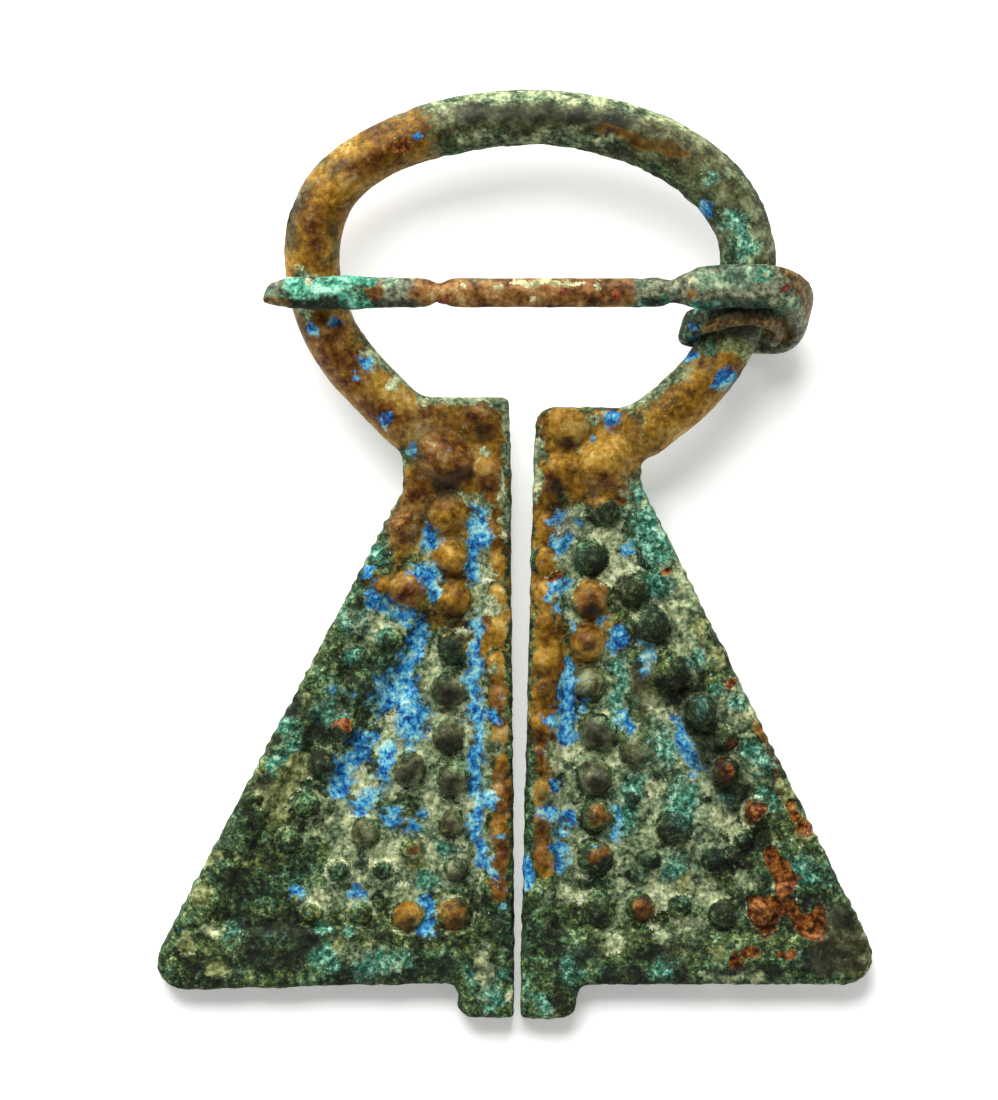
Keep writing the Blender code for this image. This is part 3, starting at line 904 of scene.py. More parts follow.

# Where each product lies on the casting and on the pin, and where shade and a pale sheen
# are painted, each patch as (x, y, radius), or with a second place that it is drawn out to.
# The order of the masks picks their random fields, so it stays as it is.
CASTING_PATCHES: dict[Mask, tuple[Patch, ...]] = {
    Mask.OLIVE: (
        (-6.9, 10.0, 1.84, 5.8, 10.5), (5.8, 10.5, 1.84, 12.2, 7.8), (12.2, 7.8, 1.56, 16.1, 2.5),
        (16.6, 1.4, 1.41), (-8.7, -9.5, 0.71), (8.0, -11.7, 0.85), (-4.6, -12.8, 3.0),
        (4.6, -13.0, 1.6), (-14.6, 4.8, 1.4), (15.2, -5.6, 1.5, 12.6, -8.2),
        (-4.7, -30.4, 1.06, -5.1, -33.9), (-4.8, -36.8, 1.06), (-7.8, -36.0, 1.2), (-10.9, -40.4, 0.92),
        (4.8, -29.7, 1.13), (5.5, -33.4, 1.06), (8.3, -34.5, 1.2), (5.3, -36.6, 1.13),
        (5.0, -23.9, 1.06), (-4.7, -39.9, 0.78), (-4.7, -43.1, 0.78), (23.4, -48.4, 2.4),
        (8.7, -29.7, 0.85, 9.4, -32.2),
    ),
    Mask.BARE: (
        (-2.6, -10.3, 1.84, -1.8, -26.9), (-5.0, -14.5, 2.1), (-4.7, -11.2, 1.3),
        (-5.0, -18.0, 1.84, -4.6, -24.0), (-8.0, -23.3, 1.56), (-9.8, -23.0, 0.92),
        (-7.5, -15.6, 1.13, -8.3, -20.1), (-6.9, -11.3, 1.84), (-1.4, -26.9, 0.64, -1.4, -44.6),
        (-8.0, -46.5, 0.92), (-4.6, -46.2, 0.99), (3.1, -11.7, 2.12, 3.7, -15.2), (6.5, -12.0, 2.12),
        (8.7, -13.8, 1.7), (1.9, -15.6, 1.3, 1.8, -33.6), (5.0, -24.0, 1.2, 4.8, -27.6),
        (7.6, -16.8, 0.71), (5.7, -14.8, 1.84), (8.7, -46.0, 0.64), (1.7, -35.4, 0.6, 1.7, -43.1),
        (16.2, -31.2, 0.4, 20.2, -40.6), (-8.4, 8.4, 2.3, -13.3, 4.9), (-13.3, 4.9, 2.6, -14.5, -0.1),
        (-14.5, -4.2, 2.6, -12.2, -8.1), (-12.2, -8.1, 2.6, -8.3, -11.0), (15.3, -6.6, 0.8, 13.9, -8.6),
        (12.9, -9.5, 2.3, 9.4, -12.4), (5.4, 9.3, 0.36, 11.6, 7.6),
    ),
    Mask.RUST: (
        (-5.0, -13.9, 2.5), (-7.2, -15.6, 1.0, -8.2, -19.3), (-8.2, -11.3, 1.2), (-2.2, -15.5, 1.0),
        (-8.0, -23.4, 1.2), (-2.9, -11.6, 1.3), (7.3, -16.5, 0.6), (5.0, -24.0, 0.9), (4.9, -26.9, 0.6),
        (-10.8, 6.9, 0.7, -7.9, 8.3), (-14.3, -5.6, 0.6, -12.9, -8.3), (-14.6, 3.4, 0.6, -14.3, 0.8),
        (-13.6, -4.4, 0.85, -11.7, -8.3), (-6.4, -10.6, 0.9), (5.9, -15.4, 0.9), (2.4, -15.6, 0.8),
        (-10.8, -9.7, 0.8, -8.8, -11.2), (-1.4, -30.2, 0.42, -1.5, -32.6),
        (-1.3, -35.8, 0.42, -1.3, -38.2), (-1.4, -40.6, 0.4, -1.4, -44.5),
        (1.6, -34.0, 0.42, 1.6, -36.4), (1.7, -39.2, 0.42, 1.7, -42.6), (-7.5, -41.6, 0.5),
        (5.6, -42.2, 0.6), (5.5, -39.2, 0.55), (12.8, -7.3, 0.5), (-11.6, 6.2, 0.9, -9.6, 7.9),
        (-4.6, -46.3, 0.7), (1.9, -16.0, 0.5), (8.7, -46.0, 0.6), (3.4, -12.9, 0.4),
    ),
    Mask.TAN: (
        (-15.9, -35.6, 0.8, -17.3, -38.0), (-17.6, -37.6, 0.9), (-15.6, -30.9, 0.57),
        (-16.9, -39.5, 0.64), (-21.7, -42.6, 0.57), (-22.6, -44.8, 0.64), (-23.6, -48.6, 0.71),
        (-22.1, -48.9, 0.35), (-21.5, -50.3, 0.57), (-12.6, -48.6, 0.49), (-10.6, -48.9, 0.28),
        (11.5, -43.8, 0.71), (14.0, -49.1, 0.64), (13.9, -28.1, 0.78), (12.5, -26.1, 0.64),
        (19.1, -37.9, 0.57), (20.0, -41.0, 0.42), (11.0, -30.0, 0.42), (-6.5, -27.8, 0.42),
        (-6.8, -29.7, 0.35), (-7.3, -42.6, 0.57), (12.9, -26.9, 0.49), (18.6, -36.8, 0.42),
        (14.5, -5.7, 0.7, 15.7, -6.3),
    ),
    Mask.CUPRITE: (
        (-8.3, 8.1, 0.71), (18.0, -41.9, 0.57, 18.8, -43.7), (18.8, -43.7, 0.64, 18.8, -45.3),
        (18.9, -45.5, 0.78), (17.3, -46.0, 1.06), (19.7, -46.7, 0.78, 20.9, -47.5), (21.0, -46.2, 0.49),
        (17.6, -47.5, 0.42), (15.4, -49.6, 0.57), (16.4, -49.1, 0.57), (18.3, -49.1, 0.28, 19.3, -49.3),
        (14.7, -34.3, 0.42), (14.7, -36.1, 0.64), (16.8, -39.1, 0.64), (19.5, -39.3, 0.49),
        (14.9, -30.0, 0.35), (10.7, -22.2, 0.35), (-12.5, -32.9, 0.42), (2.4, -22.3, 0.35),
        (6.8, -25.6, 0.35), (18.9, -1.9, 0.42), (19.3, -38.5, 0.45), (20.1, -40.4, 0.5),
    ),
    Mask.MALACHITE: (
        (-10.2, -25.4, 0.99), (-12.5, -25.6, 0.57), (-13.7, -31.9, 0.85), (-16.6, -32.9, 0.57),
        (-11.8, -28.1, 0.49), (-10.1, -20.8, 0.64), (-15.9, -34.3, 0.49, -17.5, -36.1),
        (-14.0, -47.4, 0.49), (-13.8, -49.1, 0.78), (-12.0, -47.7, 0.35), (-10.9, -50.3, 0.78),
        (-9.4, -49.8, 0.64), (-8.0, -49.6, 0.35), (-13.0, -49.8, 0.35), (-20.3, -47.4, 0.64),
        (8.5, -16.5, 0.71), (8.9, -18.0, 0.99, 9.4, -20.5), (9.8, -22.8, 0.78), (12.5, -28.0, 0.64),
        (17.3, -35.4, 0.85), (16.1, -34.6, 0.64), (12.7, -31.4, 0.57), (14.6, -38.2, 0.42),
        (20.0, -43.4, 0.99), (3.8, -50.3, 0.85), (10.4, -50.3, 0.78), (10.4, -34.3, 1.27),
        (11.8, -38.5, 1.2), (8.2, -37.4, 0.85), (7.5, -39.6, 0.99), (7.0, -28.6, 0.49, 7.0, -32.5),
        (13.4, 5.6, 0.6), (13.3, -6.0, 0.5), (15.2, 2.8, 0.8, 15.8, 1.0), (10.9, -43.1, 0.85),
        (13.8, -30.4, 0.57), (15.4, -31.1, 0.57), (17.9, -38.2, 0.57), (-1.9, -52.3, 0.64),
        (1.9, -52.7, 0.64), (-3.4, -50.6, 0.49), (-1.2, -50.6, 0.42), (-6.5, -43.8, 0.64),
        (-5.5, -41.7, 0.49),
    ),
    Mask.CREAM: (
        (-2.4, -13.6, 0.35), (-1.4, -19.7, 0.28), (-2.4, -22.0, 0.57), (-1.8, -24.5, 0.57),
        (-10.2, -25.4, 0.57), (-8.9, -32.6, 0.78), (-11.3, -37.0, 0.92), (-9.9, -34.3, 0.49),
        (-12.8, -42.9, 0.71), (-9.7, -42.7, 0.78), (-14.0, -45.1, 0.71), (-8.3, -44.5, 0.57),
        (3.2, -19.0, 0.78), (5.8, -19.4, 0.71), (7.5, -21.5, 0.92), (6.1, -22.6, 0.57),
        (2.7, -21.5, 0.42), (8.2, -25.2, 0.28), (3.6, -34.6, 0.85), (2.7, -35.7, 0.49),
        (9.8, -37.3, 0.57), (14.5, -39.5, 0.85), (6.7, -35.1, 0.49), (9.9, -45.1, 0.64),
        (3.8, -45.0, 0.57), (12.8, -44.8, 0.42), (9.7, -47.4, 0.49), (6.7, -48.4, 0.57),
        (-1.0, -52.3, 0.35), (-8.7, -8.5, 0.35), (-15.5, -0.4, 0.28), (-3.9, -26.2, 0.42),
        (-4.1, -31.8, 0.35), (-3.9, -38.2, 0.42), (-6.2, -38.2, 0.42), (-4.1, -41.4, 0.42),
    ),
    Mask.AZURITE: (
        (-6.3, -19.5, 0.78), (-6.8, -22.2, 0.85), (-6.2, -23.4, 0.49), (-2.9, -18.0, 0.64, -2.9, -19.8),
        (-3.1, -20.6, 0.42, -3.1, -22.6), (-10.8, -22.1, 0.49), (-10.1, -24.0, 0.85),
        (-8.2, -24.9, 0.57), (-6.9, -26.1, 0.64), (-2.8, -25.6, 0.57), (-7.6, -13.5, 0.42),
        (-8.3, -14.4, 0.35), (-9.4, -11.3, 0.36), (-6.8, -26.2, 0.64, -8.5, -29.7),
        (-8.5, -29.7, 0.92, -9.6, -31.4), (-7.8, -30.5, 0.99, -7.7, -32.9),
        (-10.8, -33.7, 0.92, -12.3, -36.1), (-12.3, -36.1, 0.64, -12.7, -37.2),
        (-9.6, -34.6, 0.57, -9.7, -36.5), (-10.9, -38.2, 0.85), (-3.1, -25.9, 0.49, -3.2, -30.4),
        (-3.2, -30.4, 0.42, -3.2, -38.2), (-3.2, -38.2, 0.49, -2.7, -42.4), (-1.9, -43.1, 0.42),
        (-2.2, -38.2, 0.57), (-1.9, -32.2, 0.42), (-1.7, -40.7, 0.28), (-9.2, -39.6, 0.64),
        (-7.7, -40.2, 0.57), (-6.8, -39.0, 0.35), (-13.0, -30.4, 0.42), (-11.6, -30.9, 0.35),
        (-6.5, -45.6, 0.57, -6.5, -47.4), (-2.7, -42.6, 0.64), (-1.2, -45.7, 0.28),
        (-11.4, -45.0, 0.49), (-15.7, -44.5, 0.57), (6.6, -11.3, 0.52), (5.1, -12.4, 0.28),
        (3.9, -18.7, 0.35), (2.9, -19.9, 0.57), (7.8, -20.4, 0.49), (2.5, -18.3, 0.57),
        (3.1, -23.1, 0.64), (2.2, -23.8, 0.35), (2.9, -24.5, 0.42), (3.8, -25.7, 0.42),
        (5.5, -25.4, 0.28), (6.8, -26.3, 0.64), (6.8, -27.1, 0.64), (8.9, -27.7, 0.64),
        (3.4, -28.6, 0.49, 3.4, -33.6), (4.7, -31.6, 0.42), (2.2, -32.8, 0.42),
        (7.1, -32.2, 0.42, 7.5, -32.9), (11.2, -32.7, 0.57, 12.5, -35.6), (8.7, -29.3, 0.42),
        (2.2, -37.0, 0.42), (2.4, -39.1, 0.71), (3.4, -39.5, 0.57), (3.1, -40.5, 0.57),
        (2.7, -41.7, 0.64), (6.8, -39.0, 0.35, 6.8, -41.1), (0.5, -42.4, 0.42, 0.6, -44.2),
        (2.7, -42.7, 0.57), (-11.5, -8.1, 0.42), (-12.9, -4.2, 0.4), (-14.7, -4.9, 0.35),
        (-10.8, -7.2, 0.42), (14.4, -8.2, 0.62), (11.9, -6.7, 0.35), (13.1, 3.7, 0.55),
        (-6.9, 8.6, 0.35), (3.7, -33.6, 0.42),
    ),
    Mask.PALE_CRUST_AND_SHEEN: (
        (-10.8, -25.5, 1.5), (-6.4, -28.3, 0.9, -6.3, -39.5), (-3.2, -28.3, 0.7, -2.9, -43.8),
        (-11.6, -37.0, 1.4), (-11.9, -38.6, 1.9, -11.0, -43.4), (-9.4, -41.2, 1.8, -6.1, -42.9),
        (-13.6, -31.7, 0.8), (-16.1, -34.3, 0.5), (-6.1, -43.8, 1.0, -8.5, -44.3), (-14.0, -45.1, 1.0),
        (-12.8, -48.6, 0.6, -9.0, -49.8), (-2.8, -17.5, 0.8, -2.6, -24.5),
        (-2.6, -48.8, 0.5, -2.2, -52.0), (-21.8, -47.6, 0.6), (-9.0, -33.6, 0.8, -9.4, -37.5),
        (-12.2, -24.9, 0.45), (11.1, -25.1, 1.2), (11.8, -27.5, 1.5), (6.9, -28.3, 0.8, 7.0, -32.3),
        (10.4, -33.6, 1.5, 12.7, -36.4), (3.1, -35.0, 1.1, 4.1, -35.7), (7.9, -38.6, 1.6, 11.1, -37.7),
        (7.5, -40.8, 1.7), (13.9, -39.8, 1.6), (11.3, -43.0, 1.4), (3.1, -37.8, 0.9, 3.6, -42.9),
        (16.8, -35.8, 1.3), (15.3, -31.7, 1.6), (20.3, -42.8, 0.6), (9.7, -43.9, 1.0, 13.2, -44.8),
        (16.1, -43.9, 0.8), (7.0, -44.3, 0.6, 7.0, -46.8), (12.3, -47.0, 0.7, 10.2, -47.8),
        (6.3, -48.2, 0.5), (13.2, -50.9, 0.35, 18.3, -51.0), (3.8, -18.6, 0.9, 3.6, -24.2),
        (6.6, -19.6, 1.0), (7.2, -21.4, 0.9), (9.0, -15.8, 1.0, 11.8, -23.8),
        # Painted highlight: pale strips along the left plate's top edge from (-6.6, -9.7) and along
        # both plates' inner edges, (-0.9, -10.4) and (1.4, -12.0).
        (2.8, -45.0, 0.7, 3.8, -44.6), (-6.6, -9.7, 0.42, -1.2, -10.0),
        (-0.9, -10.4, 0.35, -1.0, -19.0), (1.4, -12.0, 0.22, 1.4, -17.0), (10.9, -41.5, 1.5),
        (8.9, -36.2, 1.2), (9.4, -38.0, 1.6), (5.4, -11.2, 0.4), (9.6, -16.4, 0.6),
        # Painted highlight: pale strips along the hoop top's upper edge, (-6.5, 11.4) to (12.4, 9.8),
        # and lower edge, (-4.0, 8.7) to (6.0, 8.5).
        (15.4, 2.9, 0.7, 16.2, 0.6), (-6.5, 11.4, 0.6, 5.0, 11.9), (5.0, 11.9, 0.6, 12.4, 9.8),
        (-4.0, 8.7, 0.35, 6.0, 8.5), (-15.3, -1.0, 0.5, -15.0, -4.0), (-1.9, -28.8, 0.4),
        (-1.6, -34.4, 0.4), (-10.6, -6.4, 0.5, -7.0, -9.2), (11.0, -8.0, 0.45, 7.6, -10.4),
    ),
    Mask.DARK: (
        # Darker along the right plate's groove at (11.3, -30.5): dark crust, with painted shade in the
        # channel.
        (11.3, -30.5, 1.0, 13.3, -33.8), (-14.2, -33.0, 0.9), (-20.2, -44.0, 0.7), (22.0, -49.3, 1.4),
        (-14.0, -35.7, 0.85), (-17.3, -33.8, 0.64), (-16.1, -32.1, 0.64), (-18.1, -37.0, 0.71),
        (-20.9, -40.7, 0.6), (-12.0, -29.7, 0.64), (-10.9, -30.0, 0.64), (-20.0, -46.7, 0.7),
        (-16.4, -46.5, 0.85), (-18.5, -48.6, 1.06), (-23.0, -49.8, 0.57), (-5.3, -50.1, 0.92),
        (12.0, -31.4, 1.06), (13.4, -33.3, 0.71), (15.6, -37.4, 0.85), (11.0, -40.3, 0.99),
        (17.3, -40.7, 0.71), (6.1, -17.7, 0.92), (4.1, -21.0, 0.49), (5.3, -21.1, 0.71),
        (8.0, -23.4, 0.99), (9.4, -26.0, 1.06), (5.5, -46.2, 0.92), (14.4, -46.3, 0.99),
        (9.4, -42.6, 0.71), (13.7, -42.7, 0.64), (15.0, -42.3, 0.49), (-4.7, -27.4, 0.71),
        (-5.1, -30.6, 0.71), (-5.1, -33.9, 0.64), (-4.8, -37.0, 0.64), (-7.9, -36.2, 0.71),
        (5.4, -36.8, 0.64), (5.4, -33.6, 0.64), (1.2, -33.7, 0.35), (1.7, -37.9, 0.42),
        # Painted shade on the lower halves of the left head's boss and swelling: (-5.5, -15.3) and
        # (-2.6, -12.2).
        (1.7, -40.2, 0.42), (12.9, -35.4, 0.71), (16.1, -41.0, 0.57), (-5.5, -15.3, 0.85),
        (-2.6, -12.2, 0.85), (5.1, -43.8, 0.42), (8.0, -38.1, 0.49), (-16.0, 3.6, 0.7, -16.0, 1.6),
        # Painted shade along the middle of the hoop's top, from (-3.5, 10.4) to (11.4, 7.7).
        (-3.5, 10.4, 0.8, 7.4, 9.8), (6.0, 9.2, 0.5, 11.4, 7.7), (-13.1, 2.4, 0.35, -13.0, 0.4),
        (-13.3, 6.3, 0.45, -12.3, 6.9), (-17.5, -47.4, 0.8, -14.8, -47.9), (-9.5, -47.9, 0.6),
        (-12.5, -50.7, 0.6, -9.8, -50.9), (4.2, -49.8, 0.8), (6.6, -50.4, 0.7, 8.6, -50.6),
        (11.6, -50.2, 0.6), (12.4, -48.2, 0.6), (2.8, -52.4, 0.6), (-19.4, -49.9, 0.6, -15.8, -49.4),
        (-7.4, -50.6, 0.6), (14.2, -50.3, 0.6, 16.6, -50.6), (5.0, -24.6, 0.6), (4.9, -27.2, 0.5),
        (-7.9, -46.9, 0.5), (-4.6, -46.6, 0.5), (-1.6, -46.6, 0.6), (5.2, -48.9, 0.8),
        (2.4, -47.6, 0.7), (9.0, -49.3, 0.6, 12.4, -48.6), (18.2, -50.4, 0.5), (20.8, -49.6, 0.8),
        (2.6, -51.6, 0.6), (-2.6, -50.0, 0.5), (-20.8, -49.8, 0.6), (21.4, -45.2, 0.71),
        # Painted shade on the lower halves of the swellings, (-2.5, -12.5), (-3.9, -15.0), (3.2, -13.0)
        # and (2.5, -16.0), and a painted shadow on the rod under the pin's coil at (13.9, -4.9).
        (22.8, -46.7, 0.85), (-2.5, -12.5, 0.6), (-3.9, -15.0, 0.6, -5.4, -16.1),
        (13.9, -4.9, 0.5, 16.4, -4.6), (3.2, -13.0, 0.5), (2.5, -16.0, 0.5),
        # Darker along the right plate's groove at (11.5, -29.6): dark crust, with painted shade in the
        # channel.
        (11.5, -29.6, 1.1, 15.2, -38.2), (-15.9, -31.0, 0.5),
    ),
}

PIN_PATCHES: dict[Mask, tuple[Patch, ...]] = {
    Mask.PALE_CRUST_AND_SHEEN: (
        (-9.0, -1.4, 0.4), (8.5, -1.6, 0.4), (12.6, -1.3, 0.6, 16.0, -1.1), (19.3, -2.9, 0.4),
        (-17.5, -2.1, 0.45),
    ),
    Mask.OLIVE: (
        (-17.0, -1.7, 0.7), (-9.2, -2.1, 1.1, -6.8, -2.3), (8.2, -1.8, 0.9, 10.6, -1.9),
        (12.4, -1.9, 1.2, 18.0, -1.7), (19.9, -4.1, 1.3), (19.6, -5.2, 1.0, 17.0, -6.3),
    ),
    Mask.BARE: (
        (-10.3, -2.1, 0.7), (-6.2, -2.3, 1.3, 6.9, -2.2), (12.0, -2.2, 0.3),
    ),
    Mask.TAN: (
        (-17.4, -3.0, 0.5, -16.3, -3.0), (-17.9, -2.9, 0.4), (13.5, -4.7, 0.8, 15.4, -4.1),
        (15.4, -4.1, 0.8, 18.3, -4.7), (18.6, -5.3, 0.7), (18.6, -0.6, 0.5, 20.6, -2.6),
        (20.6, -2.6, 0.45, 20.7, -4.8),
    ),
    Mask.CUPRITE: (
        (18.7, -1.9, 0.32), (7.0, -2.3, 0.35), (-5.4, -2.8, 0.35), (3.0, -2.0, 0.3),
    ),
    Mask.MALACHITE: (
        (-15.8, -1.6, 0.75, -12.8, -1.9), (-12.5, -2.5, 0.45, -10.9, -3.1),
        (-12.6, -1.4, 0.35, -10.3, -1.4), (17.0, -0.9, 0.7), (12.4, -3.1, 0.22, 14.0, -3.1),
        (10.4, -2.6, 0.4),
    ),
    Mask.CREAM: (
        (-14.9, -1.2, 0.25), (-1.5, -1.7, 0.3), (1.0, -2.7, 0.2), (12.0, -1.2, 0.2), (17.1, -1.0, 0.25),
        (-4.0, -1.6, 0.2), (5.4, -1.6, 0.25), (-0.5, -1.5, 0.2, 4.5, -1.5),
    ),
    Mask.AZURITE: (
        (12.2, -4.5, 0.35), (12.2, -5.6, 0.3), (-13.0, -3.4, 0.2),
    ),
    Mask.DARK: (
        (-15.9, -2.9, 0.4, -12.2, -2.9), (-10.2, -3.0, 0.3, -7.5, -3.1), (9.4, -2.9, 0.4, 11.0, -2.9),
        # Painted shade: the strips from (13.0, -3.0) and (13.6, -3.5) darken the coil's inner turn
        # where its outer band shades it.
        (13.0, -3.0, 0.4, 16.8, -2.9), (5.2, -2.7, 0.35), (13.6, -3.5, 0.5, 17.4, -3.5),
    ),
}


# Products that grow in the hollows of the relief and are thin on the pellets.
GROWN_IN_HOLLOWS = (Mask.AZURITE, Mask.CREAM, Mask.PALE_CRUST_AND_SHEEN)

# How much more of a product lies in each kind of spot on the relief, or less of it; the pale share
# along the plates' edges and side walls is a painted sheen.
SPOT_SHARES: dict[Mask, dict[Spot, float]] = {
    Mask.PALE_CRUST_AND_SHEEN: {Spot.RIM: 0.4, Spot.BORDER: 0.06, Spot.BETWEEN: 0.05, Spot.DOME: -0.4},
    Mask.BARE: {Spot.RIM: -0.1, Spot.BORDER: -0.15, Spot.BETWEEN: -0.3},
    Mask.CREAM: {Spot.CRUSTED_RIM: 0.34},
    Mask.OLIVE: {Spot.BORDER: -0.2},
    Mask.DARK: {Spot.CRUSTED_DOME: 0.12},
}

# The level at which a dark patch begins to show, and how much more makes it fully dark.
DARK_PATINA_AND_SHADE_START = 0.25
DARK_PATINA_AND_SHADE_FADE = 0.5


@dataclass(frozen=True)
class Crust:
    """How corrosion and wear move the metal's skin, in millimetres."""

    seed: int
    lumps: float = 0.09
    lump_size: float = 0.9
    grit: float = 0.06
    grit_size: float = 0.36
    grit_seed: int = 7
    polish: float = 0.022
    polish_size: float = 2.4
    polish_seed: int = 11
    clean_start: float = 0.36
    clean_fade: float = 0.28
    clean_share: float = 0.85
    olive_lag: float = 0.06
    scab_start: float = 0.4
    scab_fade: float = 0.3
    scab_share: float = 0.7
    pits: float = 0.08
    pit_start: float = 0.52
    pit_fade: float = 0.2
    pit_rim: float = 0.46
    pit_rim_spread: float = 0.05
    pit_rim_share: float = 0.4
    hidden_share: float = 0.55

    def depth(self, points: np.ndarray, masks: dict[Mask, np.ndarray], front: np.ndarray) -> np.ndarray:
        """Return how far each point moves out along its normal.

        Args:
            points: The skin's points in millimetres.
            masks: What lies on the metal at each point.
            front: 1 where the skin shows in the face, 0 on the back.

        Returns:
            One distance for each point, in millimetres.
        """
        rough = Noise(self.seed).fractal(points, self.lump_size) * self.lumps
        grit = Noise(self.seed + self.grit_seed).fractal(points, self.grit_size, 2) * self.grit
        rough = (rough + grit) * (self.hidden_share + (1.0 - self.hidden_share) * front)
        smooth = Noise(self.seed + self.polish_seed).fractal(points, self.polish_size) * self.polish
        worn = np.maximum(masks[Mask.BARE], masks[Mask.OLIVE] - self.olive_lag)
        clean = eased(worn, self.clean_start, self.clean_fade)
        grown = np.maximum(masks[Mask.CREAM], masks[Mask.MALACHITE])
        clean = clean * (1.0 - self.scab_share * eased(grown, self.scab_start, self.scab_fade))
        pit = eased(masks[Mask.CUPRITE], self.pit_start, self.pit_fade)
        rim = bump(masks[Mask.CUPRITE] - self.pit_rim, self.pit_rim_spread)
        skin = rough * (1.0 - self.clean_share * clean) + smooth * clean
        return skin - self.pits * pit + self.pit_rim_share * self.pits * rim


@dataclass(frozen=True)
class Casting:
    """The hoop and both plates, cast in one piece."""

    hoop: Hoop
    plates: tuple[Plate, Plate]
    crust: Crust = Crust(seed=Seed.CASTING_CRUST)
    low: tuple[float, float, float] = (-27.2, -55.6, -2.8)
    high: tuple[float, float, float] = (27.0, 13.8, 2.8)
    grid_step: float = 0.16
    joint_blend: float = 0.9
    most_triangles: int = 190000
    hoop_bottom: float = -9.0
    rim_place: float = 1.15
    rim_spread: float = 0.16
    # Widths of the painted pale sheen along the plates' edges and on their side walls.
    edge_sheen_spread: float = 0.3
    side_wall_sheen_spread: float = 0.28
    plate_fade: float = 2.0
    front_start: float = -0.75
    hollow_start: float = 0.55
    hollow_fade: float = 0.4
    grown_share: float = 0.35
    dome_start: float = 0.75
    dome_fade: float = 0.25
    back_level: float = 0.3
    back_patch_share: float = 0.3
    back_drift: float = 0.3
    back_drift_size: float = 4.5
    drift: float = 0.24
    drift_size: float = 1.3
    crust_start: float = 0.35
    crust_fade: float = 0.2
    outline_level: float = 0.4
    outline_spread: float = 0.05
    outline_share: float = 0.42
    wander: float = 0.55

    def skin(self) -> tuple[np.ndarray, np.ndarray]:
        """Draw the casting's clean skin before it corroded.

        Returns:
            The skin's points and its four-cornered faces.
        """
        across, up, levels = (
            np.arange(start, end, self.grid_step) for start, end in zip(self.low, self.high)
        )
        flat = np.stack(np.meshgrid(across, up, indexing="ij"), axis=-1).reshape(-1, 2)
        away, _ = nearest_on_line(flat, self.hoop.route(self.plates))
        widths = self.hoop.width_at(flat, self.plates)
        rod = np.hypot(away[:, None], levels[None, :]) - widths[:, None]
        left, right = (plate.solid(flat, levels) for plate in self.plates)
        values = smooth_min(rod, np.minimum(left, right), self.joint_blend)
        values = values.reshape(len(across), len(up), len(levels))
        return surface_nets(values, np.array(self.low), self.grid_step)

    def front(self, points: np.ndarray, normals: np.ndarray) -> np.ndarray:
        """Return 1 where the skin shows from the face and on the whole hoop, 0 on the back."""
        faces = smooth_step(normals @ FACING - self.front_start)
        return np.maximum(faces, smooth_step(points[:, 1] - self.hoop_bottom))

    def spots(
        self, points: np.ndarray, normals: np.ndarray, masks: dict[Mask, np.ndarray]
    ) -> dict[Spot, np.ndarray]:
        """Return how fully each point of the skin lies in each kind of spot.

        Args:
            points: The skin's points in millimetres.
            normals: The way that the skin looks at each point.
            masks: What lies on the metal at each point, so far.

        Returns:
            A level from 0 to 1 for each kind of spot and each point.
        """
        front = self.front(points, normals)
        share = np.minimum(*(plate.pellet_share(points) for plate in self.plates))
        beads = np.minimum(*(plate.bead_share(plate.local(points)) for plate in self.plates))
        # The plates' edges and their side walls get a painted pale sheen.
        edge = np.minimum(*(self.edge_closeness(points, plate) for plate in self.plates))
        side_wall_sheen = bump(normals @ FACING, self.side_wall_sheen_spread)
        on_plates = smooth_step((self.hoop_bottom - points[:, 1]) / self.plate_fade) * front
        rim = bump(share - self.rim_place, self.rim_spread) * front
        top = (1.0 - eased(share, self.dome_start, self.dome_fade)) * front
        bare = np.maximum(masks[Mask.BARE], masks[Mask.CUPRITE])
        crusted = 1.0 - eased(bare, self.crust_start, self.crust_fade)
        return {
            Spot.RIM: rim,
            Spot.DOME: top,
            Spot.BORDER: np.maximum(bump(edge, self.edge_sheen_spread), side_wall_sheen) * on_plates,
            Spot.BETWEEN: bump(beads - self.rim_place, self.rim_spread) * on_plates,
            Spot.CRUSTED_RIM: rim * crusted,
            Spot.CRUSTED_DOME: top * crusted,
        }

    def masks(self, points: np.ndarray, normals: np.ndarray) -> dict[Mask, np.ndarray]:
        """Return what lies on the metal at each point of the skin, and where shade and a pale sheen are
        painted.

        Args:
            points: The skin's points in millimetres.
            normals: The way that the skin looks at each point.

        Returns:
            A level for each mask and each point, 0.5 where a patch ends.
        """
        front = self.front(points, normals)
        share = np.minimum(*(plate.pellet_share(points) for plate in self.plates))
        hollow = eased(share, self.hollow_start, self.hollow_fade)
        masks = {}
        places = wandered(points, Seed.CASTING_WANDER, self.wander)
        for number, (mask, patches) in enumerate(CASTING_PATCHES.items()):
            level = patch_level(places, patches)
            if mask in GROWN_IN_HOLLOWS:
                level = level * (self.grown_share + (1.0 - self.grown_share) * hollow)
            cover = Noise(Seed.BACK_COVER + number).fractal(points, self.back_drift_size)
            hidden = self.back_patch_share * level + self.back_level + self.back_drift * cover
            level = hidden + (level - hidden) * front
            drift = Noise(Seed.CASTING_DRIFT + number).fractal(points, self.drift_size)
            masks[mask] = level + self.drift * drift
        spots = self.spots(points, normals, masks)
        for mask, shares in SPOT_SHARES.items():
            for spot, share in shares.items():
                masks[mask] = masks[mask] + share * spots[spot]
        for mask in (Mask.TAN, Mask.CUPRITE):
            outline = bump(masks[mask] - self.outline_level, self.outline_spread)
            masks[Mask.CREAM] = masks[Mask.CREAM] + self.outline_share * outline
        masks[Mask.DARK] = eased(masks[Mask.DARK], DARK_PATINA_AND_SHADE_START, DARK_PATINA_AND_SHADE_FADE)
        return masks

